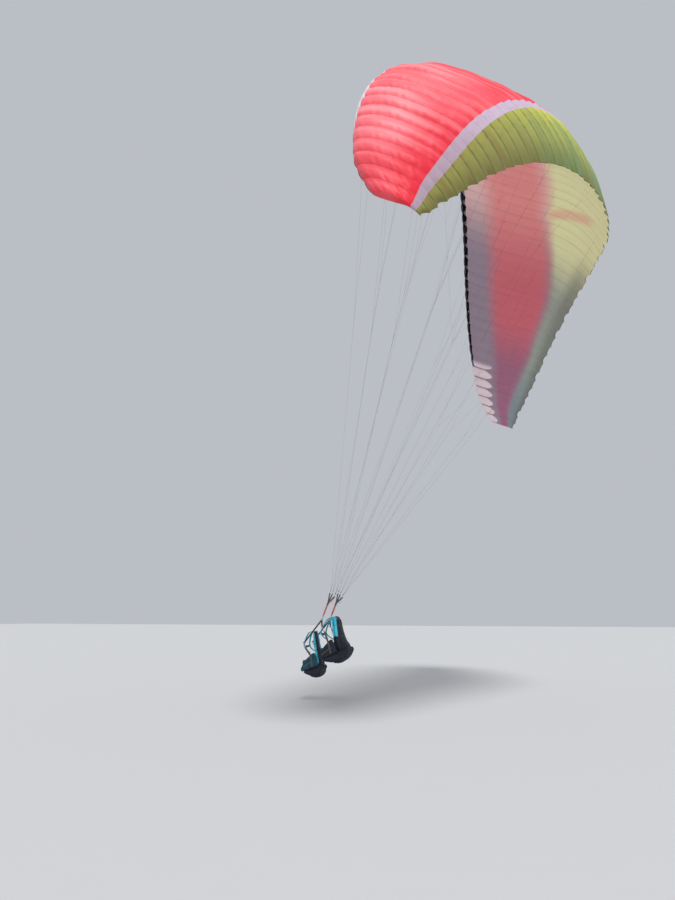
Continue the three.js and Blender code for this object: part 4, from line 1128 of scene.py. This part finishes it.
def makeSeat(name, kit, place):
    (xb, zb), half = kit["corner"], kit["width"] / 2
    front = xb + kit["depth"]
    seat, rows = Shape(), []
    for base, table in ((xb, seatPan["rear"]), (front, seatPan["front"])):
        for ahead, drop, wide in table:
            low, high, out = zb - seatPan["under"] + drop, zb - 0.0006 - drop * 0.4, wide * half
            section = [(-out, low + 0.008), (-out, high - 0.006), (0.008 - out, high), (0, high),
                       (out - 0.008, high), (out, high - 0.006), (out, low + 0.008), (out - 0.012, low),
                       (0, low), (0.012 - out, low)]
            rows.append([(base + ahead, y, z) for y, z in section])
    seat.add(place(rows), ringFaces(len(rows), len(rows[0])), blackNylon)
    foot, outer, inner = [seatPan[key] for key in ("hipFoot", "hipOuter", "hipInner")]
    x = np.linspace(xb - 0.018, front + 0.012, 41)
    top = np.interp(x, *hipEdge(xb, zb, front).T)
    tall = (top - zb + foot)[:, None]
    along, height = (x - x[0])[:, None], tall * np.linspace(0, 1, 25)
    rim = np.minimum(np.minimum(along, x[-1] - x[0] - along), np.minimum(height, tall - height))
    crown = np.clip(rim / 0.014, 0, 1) ** 0.5 + 0.12 * np.clip(rim / 0.06, 0, 1)
    for _, side in sides:
        face = np.stack([x[:, None] + 0 * height, side * (half - outer + seatPan["hipCrown"] * crown),
                         zb - foot + height], -1)
        lining = face[:, ::-1].copy()
        lining[..., 1] = side * (half - inner)
        seat.add(place(np.concatenate([face, lining], axis=1)), ringFaces(41, 50, flip=side < 0), kit["hip"])
        piping = np.concatenate([[(x[0], zb - foot)], np.stack([x, top], -1)[::2], [(x[-1], zb - foot)]])
        piping = np.insert(piping, 1, side * (half - outer), axis=1)
        seat.tube(piping, 0.003, 6, blackPlastic, place, sideways, closed=True)
        # bound edge of the cargo pocket
        edgeX, edgeTop = x[seatPan["pocket"]], top[seatPan["pocket"]]
        pocket = np.stack([edgeX, 0 * edgeX + side * (half - 0.0006), zb + 0.012 + 0.30 * (edgeTop - zb)], -1)
        seat.strap(place(pocket), 0.012, 0.0016, upwards, blackWebbing)
    seat.build(f"{name}Seat", f"{name}_harness", f"{name}_cloth", f"{name}_seat_shell")


def backPlane(kit):
    # Points of the back in the harness's own frame, their rise and distance behind it, and its rear direction
    (xb, zb), recline = kit["corner"], math.radians(kit["recline"])
    up = np.array([-math.sin(recline), math.cos(recline)])
    rear = np.array([-up[1], up[0]])
    foot = np.array([xb + 0.02, zb + (padGap - rear[1] * 2 * backHalf)])

    def backAt(rise, out):
        return foot + up * rise + rear * out

    def onBack(points):
        flat = points[:, [0, 2]] - foot
        return flat @ up, flat @ rear
    return backAt, onBack, rear


def makeBackPad(name, kit):
    width, back = kit["width"], kit["back"]
    backAt, onBack, rear = backPlane(kit)

    def seam(points):
        return np.minimum(nearest(onBack(points)[0], back * np.array([0.2, 0.4, 0.6, 0.8])),
                          nearest(points[:, 1], (-0.082, 0.082)))

    def panel(points):
        return np.minimum(np.abs(points[:, 1]) - 0.086, onBack(points)[0] - back * kit["accentFrom"])

    table = [(*backAt(rise * back, backHalf), *rear, backHalf * 0.8, wide * width * 0.97)
             for rise, wide in backRows]
    puffed(f"{name}_back_pad", kit, table, kit["pad"], seam, panel)


def makeContainer(name, kit):
    (xb, zb), width, back, deep = [kit[key] for key in ("corner", "width", "back", "container")]
    backAt, onBack, rear = backPlane(kit)
    sideSeam = 0.030 + 0.075   # behind the back

    def seam(points):
        rise, out = onBack(points)
        return np.min([nearest(rise, back * np.array([0.40, 0.74])), nearest(out, (sideSeam,)),
                       nearest(points[:, 1], (-0.115, 0.115))], axis=0)

    def panel(points):
        rise, out = onBack(points)
        return np.min([sideSeam - out, rise - back * kit["accentFrom"], np.abs(points[:, 1]) - 0.10], axis=0)

    soleWide, soleDeep = containerSole[0], deep * containerSole[1] / 2
    table = [(xb - 0.022 - soleDeep, zb - 0.032, -1.0, 0.0, soleDeep * 0.96, soleWide * width * 0.96)]
    table += [(*backAt(rise * back, backHalf * 2 + padGap + 0.003 + deep * thick * 0.48), *rear,
               deep * thick * 0.475, wide * width * 0.96) for rise, wide, thick in containerRows]
    puffed(f"{name}_container", kit, table, kit["pad"], seam, panel)


def makeAirbag(name, kit):
    (xb, zb), width, deep, bagRear = [kit[key] for key in ("corner", "width", "airbag", "bagRear")]

    def seam(points):
        return np.minimum(nearest(points[:, 1], (-0.075, 0.075)),
                          nearest(points[:, 0], (xb - 0.02, xb + 0.16)))

    def panel(points):
        return -np.ones(len(points))

    table = [(xb + (bagRear + (bagFront - bagRear) * share) * kit["depth"],
              zb - seatPan["under"] - padGap - 0.002 - deep * thick * 0.48, 0.0, 1.0, deep * thick * 0.475,
              width * 0.46) for share, thick in airbagRows]
    puffed(f"{name}_airbag", kit, table, blackNylon, seam, panel)


strapping = {
    "start": -riser["carabinerHeight"] - riser["eye"] - 0.002,   # the main strap's top below its eye
    "knee": 0.04,            # how far below that it turns towards the hip
    "outside": 0.0033,       # its middle outside the seat's side
    "chest": 0.135,          # chest strap ahead of the seat's rear corner
    "overBack": 0.006,       # shoulder strap above the back pad's top
    "legInside": 0.014 + padGap + 0.002,   # leg strap inside the seat's side
}


def makeMainStrap(name, kit, place, sideName, side):
    # The harness's carabiner, and the strap from it down the outside of the hip panel
    (xb, zb), y, height = kit["corner"], side * rigging["hangHalf"], riser["carabinerHeight"]
    out = side * (kit["width"] / 2 + strapping["outside"])

    def under(points):
        return place(np.asarray(points, float) + [0, y, 0])

    ring = Shape()
    addCarabiner(ring, lambda points: under(points + [0, 0, -height]), alloy, side)
    ring.build(f"{name}_carabiner_{sideName}", f"{name}_harness", "alloy")
    main, top = Shape(), strapping["start"]
    addLoop(main, under, -height, -1)
    path = spread([(0, y, top), (-0.005, y, top - strapping["knee"]), (xb + 0.07, out, zb + 0.19),
                   (xb + 0.11, out, zb - 0.02)], 8)
    wide = np.interp(lengths(path), [0, 0.035], [0.014, 0.036])
    main.strap(path, wide, 0.0055, forwards, blackWebbing, place)
    main.build(f"{name}_main_strap_{sideName}", f"{name}_harness", "webbing")


def makeShoulderStrap(name, kit, place, sideName, side):
    # Padded strap over the back pad's top and down to the main strap
    (xb, zb), backAt, outside = kit["corner"], backPlane(kit)[0], kit["width"] / 2 + strapping["outside"]
    chest, over = xb + strapping["chest"], kit["back"] + strapping["overBack"] + padGap
    knee = strapping["start"] - strapping["knee"]
    strapY = outside + (rigging["hangHalf"] - outside) * 0.030 / (knee - zb - 0.19)
    crest, tail = backAt(over, -0.008), backAt(over, 0.026)
    path = smoothPath([(tail[0], side * 0.078, tail[1]), (crest[0], side * 0.080, crest[1]),
                       (crest[0] + 0.092, side * 0.096, crest[1] - 0.010),
                       (chest, side * 0.140, zb + 0.43), (chest, side * 0.150, zb + 0.33),
                       (xb + 0.072, side * (strapY - 0.0342), zb + 0.232)])
    shoulder = Shape()
    wide = np.interp(lengths(path), [0, 0.05, 0.45, lengths(path)[-1]], [0.05, 0.06, 0.06, 0.034])
    shoulder.strap(place(path), wide, 0.0105, sideways, cyanNylon, crown=0.12)
    # webbing sewn along it
    sewn = place(path[4:-2])
    shoulder.strap(sewn + directions(sewn, sideways)[1] * 0.0064, 0.025, 0.0022, sideways, blackWebbing)
    made = shoulder.build(f"{name}_shoulder_strap_{sideName}", f"{name}_harness", f"{name}_accent")


def makeLegStrap(name, kit, place, sideName, side):
    # From the seat's front edge up and back to the hip panel, with its buckle
    (xb, zb), hipY = kit["corner"], kit["width"] / 2 - strapping["legInside"]
    front = xb + kit["depth"]
    corners = [(front - 0.006, 0.014, zb + 0.002), (front - 0.006, 0.044, zb + 0.002),
               (front - 0.006, 0.056, zb + 0.030), (front - 0.036, 0.088, zb + 0.104),
               (front - 0.074, 0.126, zb + 0.150), (front - 0.108, hipY - 0.016, zb + 0.142),
               (front - 0.124, hipY, zb + 0.104), (front - 0.124, hipY, zb + 0.060)]
    path = smoothPath(spread(corners, 3), 3) * [1, side, 1]
    leg = Shape()
    leg.strap(path, 0.034, 0.004, forwards, blackWebbing, place)
    leg.strap(path[12:17], 0.040, 0.0056, forwards, alloy, place, crown=0.4)
    leg.build(f"{name}_leg_strap_{sideName}", f"{name}_harness", "webbing")


def makeChestStrap(name, kit, place):
    # With a buckle of two halves and a slider
    xb, zb = kit["corner"]
    x0 = xb + strapping["chest"] + 0.006 + padGap + 0.0025
    ends = [(x0, 0.135, zb + 0.385), (x0 + 0.008, 0.07, zb + 0.384)]
    path = [(x, -y, z) for x, y, z in ends] + [(x0 + 0.014, 0, zb + 0.382)] + ends[::-1]
    band = Shape()
    band.strap(place(smoothPath(path, 5)), 0.036, 0.0044, upwards, blackWebbing)
    for fromY, toY, material in ((-0.026, 0.0, blackPlastic), (0.001, 0.027, blackPlastic),
                                 (0.045, 0.056, alloy)):
        buckle = [(x0 + 0.0155, y, zb + 0.382) for y in np.linspace(fromY, toY, 6)]
        band.strap(place(buckle), 0.044, 0.0045, upwards, material, crown=0.3)
    band.build(f"{name}_chest_strap", f"{name}_harness", "webbing")


for name, kit in harnesses.items():
    place = placer(kit)[0]
    recoat(nodes[f"{name}_seat_board"], plywood)
    makeSeat(name, kit, place)
    makeBackPad(name, kit)
    if kit["container"]:
        makeContainer(name, kit)
    makeAirbag(name, kit)
    for sideName, side in sides:
        makeMainStrap(name, kit, place, sideName, side)
        makeShoulderStrap(name, kit, place, sideName, side)
        makeLegStrap(name, kit, place, sideName, side)
    makeChestStrap(name, kit, place)
    print(f"{name} harness made")

stageSet = {
    "floorDrop": 0.42,       # below the lowest piece
    "floorSize": 160.0,
    "floor": (0.62, 0.62, 0.62),
    "world": (0.80, 0.84, 0.90), "worldStrength": 0.62,
    "suns": (                # strength, softness in degrees, where from
        (1.9, 14.0, (-0.35, 0.55, 1.0)),
        (0.9, 30.0, (-0.33, 0.94, 0.12)),
    ),
}


def makeStage():
    low = cadBox[0][2] - stageSet["floorDrop"]
    half = stageSet["floorSize"] / 2
    mesh = bpy.data.meshes.new("floor")
    mesh.from_pydata([(-half, -half, low), (half, -half, low), (half, half, low), (-half, half, low)], [],
                     [(0, 1, 2, 3)])
    floor = linked("floor", mesh)
    f = Finish("floorPaint", Roughness=0.9)
    worn = tuple(0.94 * part for part in stageSet["floor"])
    f.feed("Base Color", f.blend(f.noise(2.0, 3) * 0.2, stageSet["floor"], worn))
    mesh.materials.append(f.material)
    world = bpy.data.worlds.new("studio")
    world.use_nodes = True
    background = world.node_tree.nodes["Background"]
    background.inputs[0].default_value = (*stageSet["world"], 1.0)
    background.inputs[1].default_value = stageSet["worldStrength"]
    bpy.context.scene.world = world
    for strength, softness, origin in stageSet["suns"]:
        lamp = bpy.data.lights.new("sun", "SUN")
        lamp.energy, lamp.angle = strength, math.radians(softness)
        linked("sun", lamp).rotation_euler = (-Vector(origin)).to_track_quat("-Z", "Y").to_euler()


makeStage()
bpy.context.scene.view_settings.view_transform = "Standard"
print("stage set")
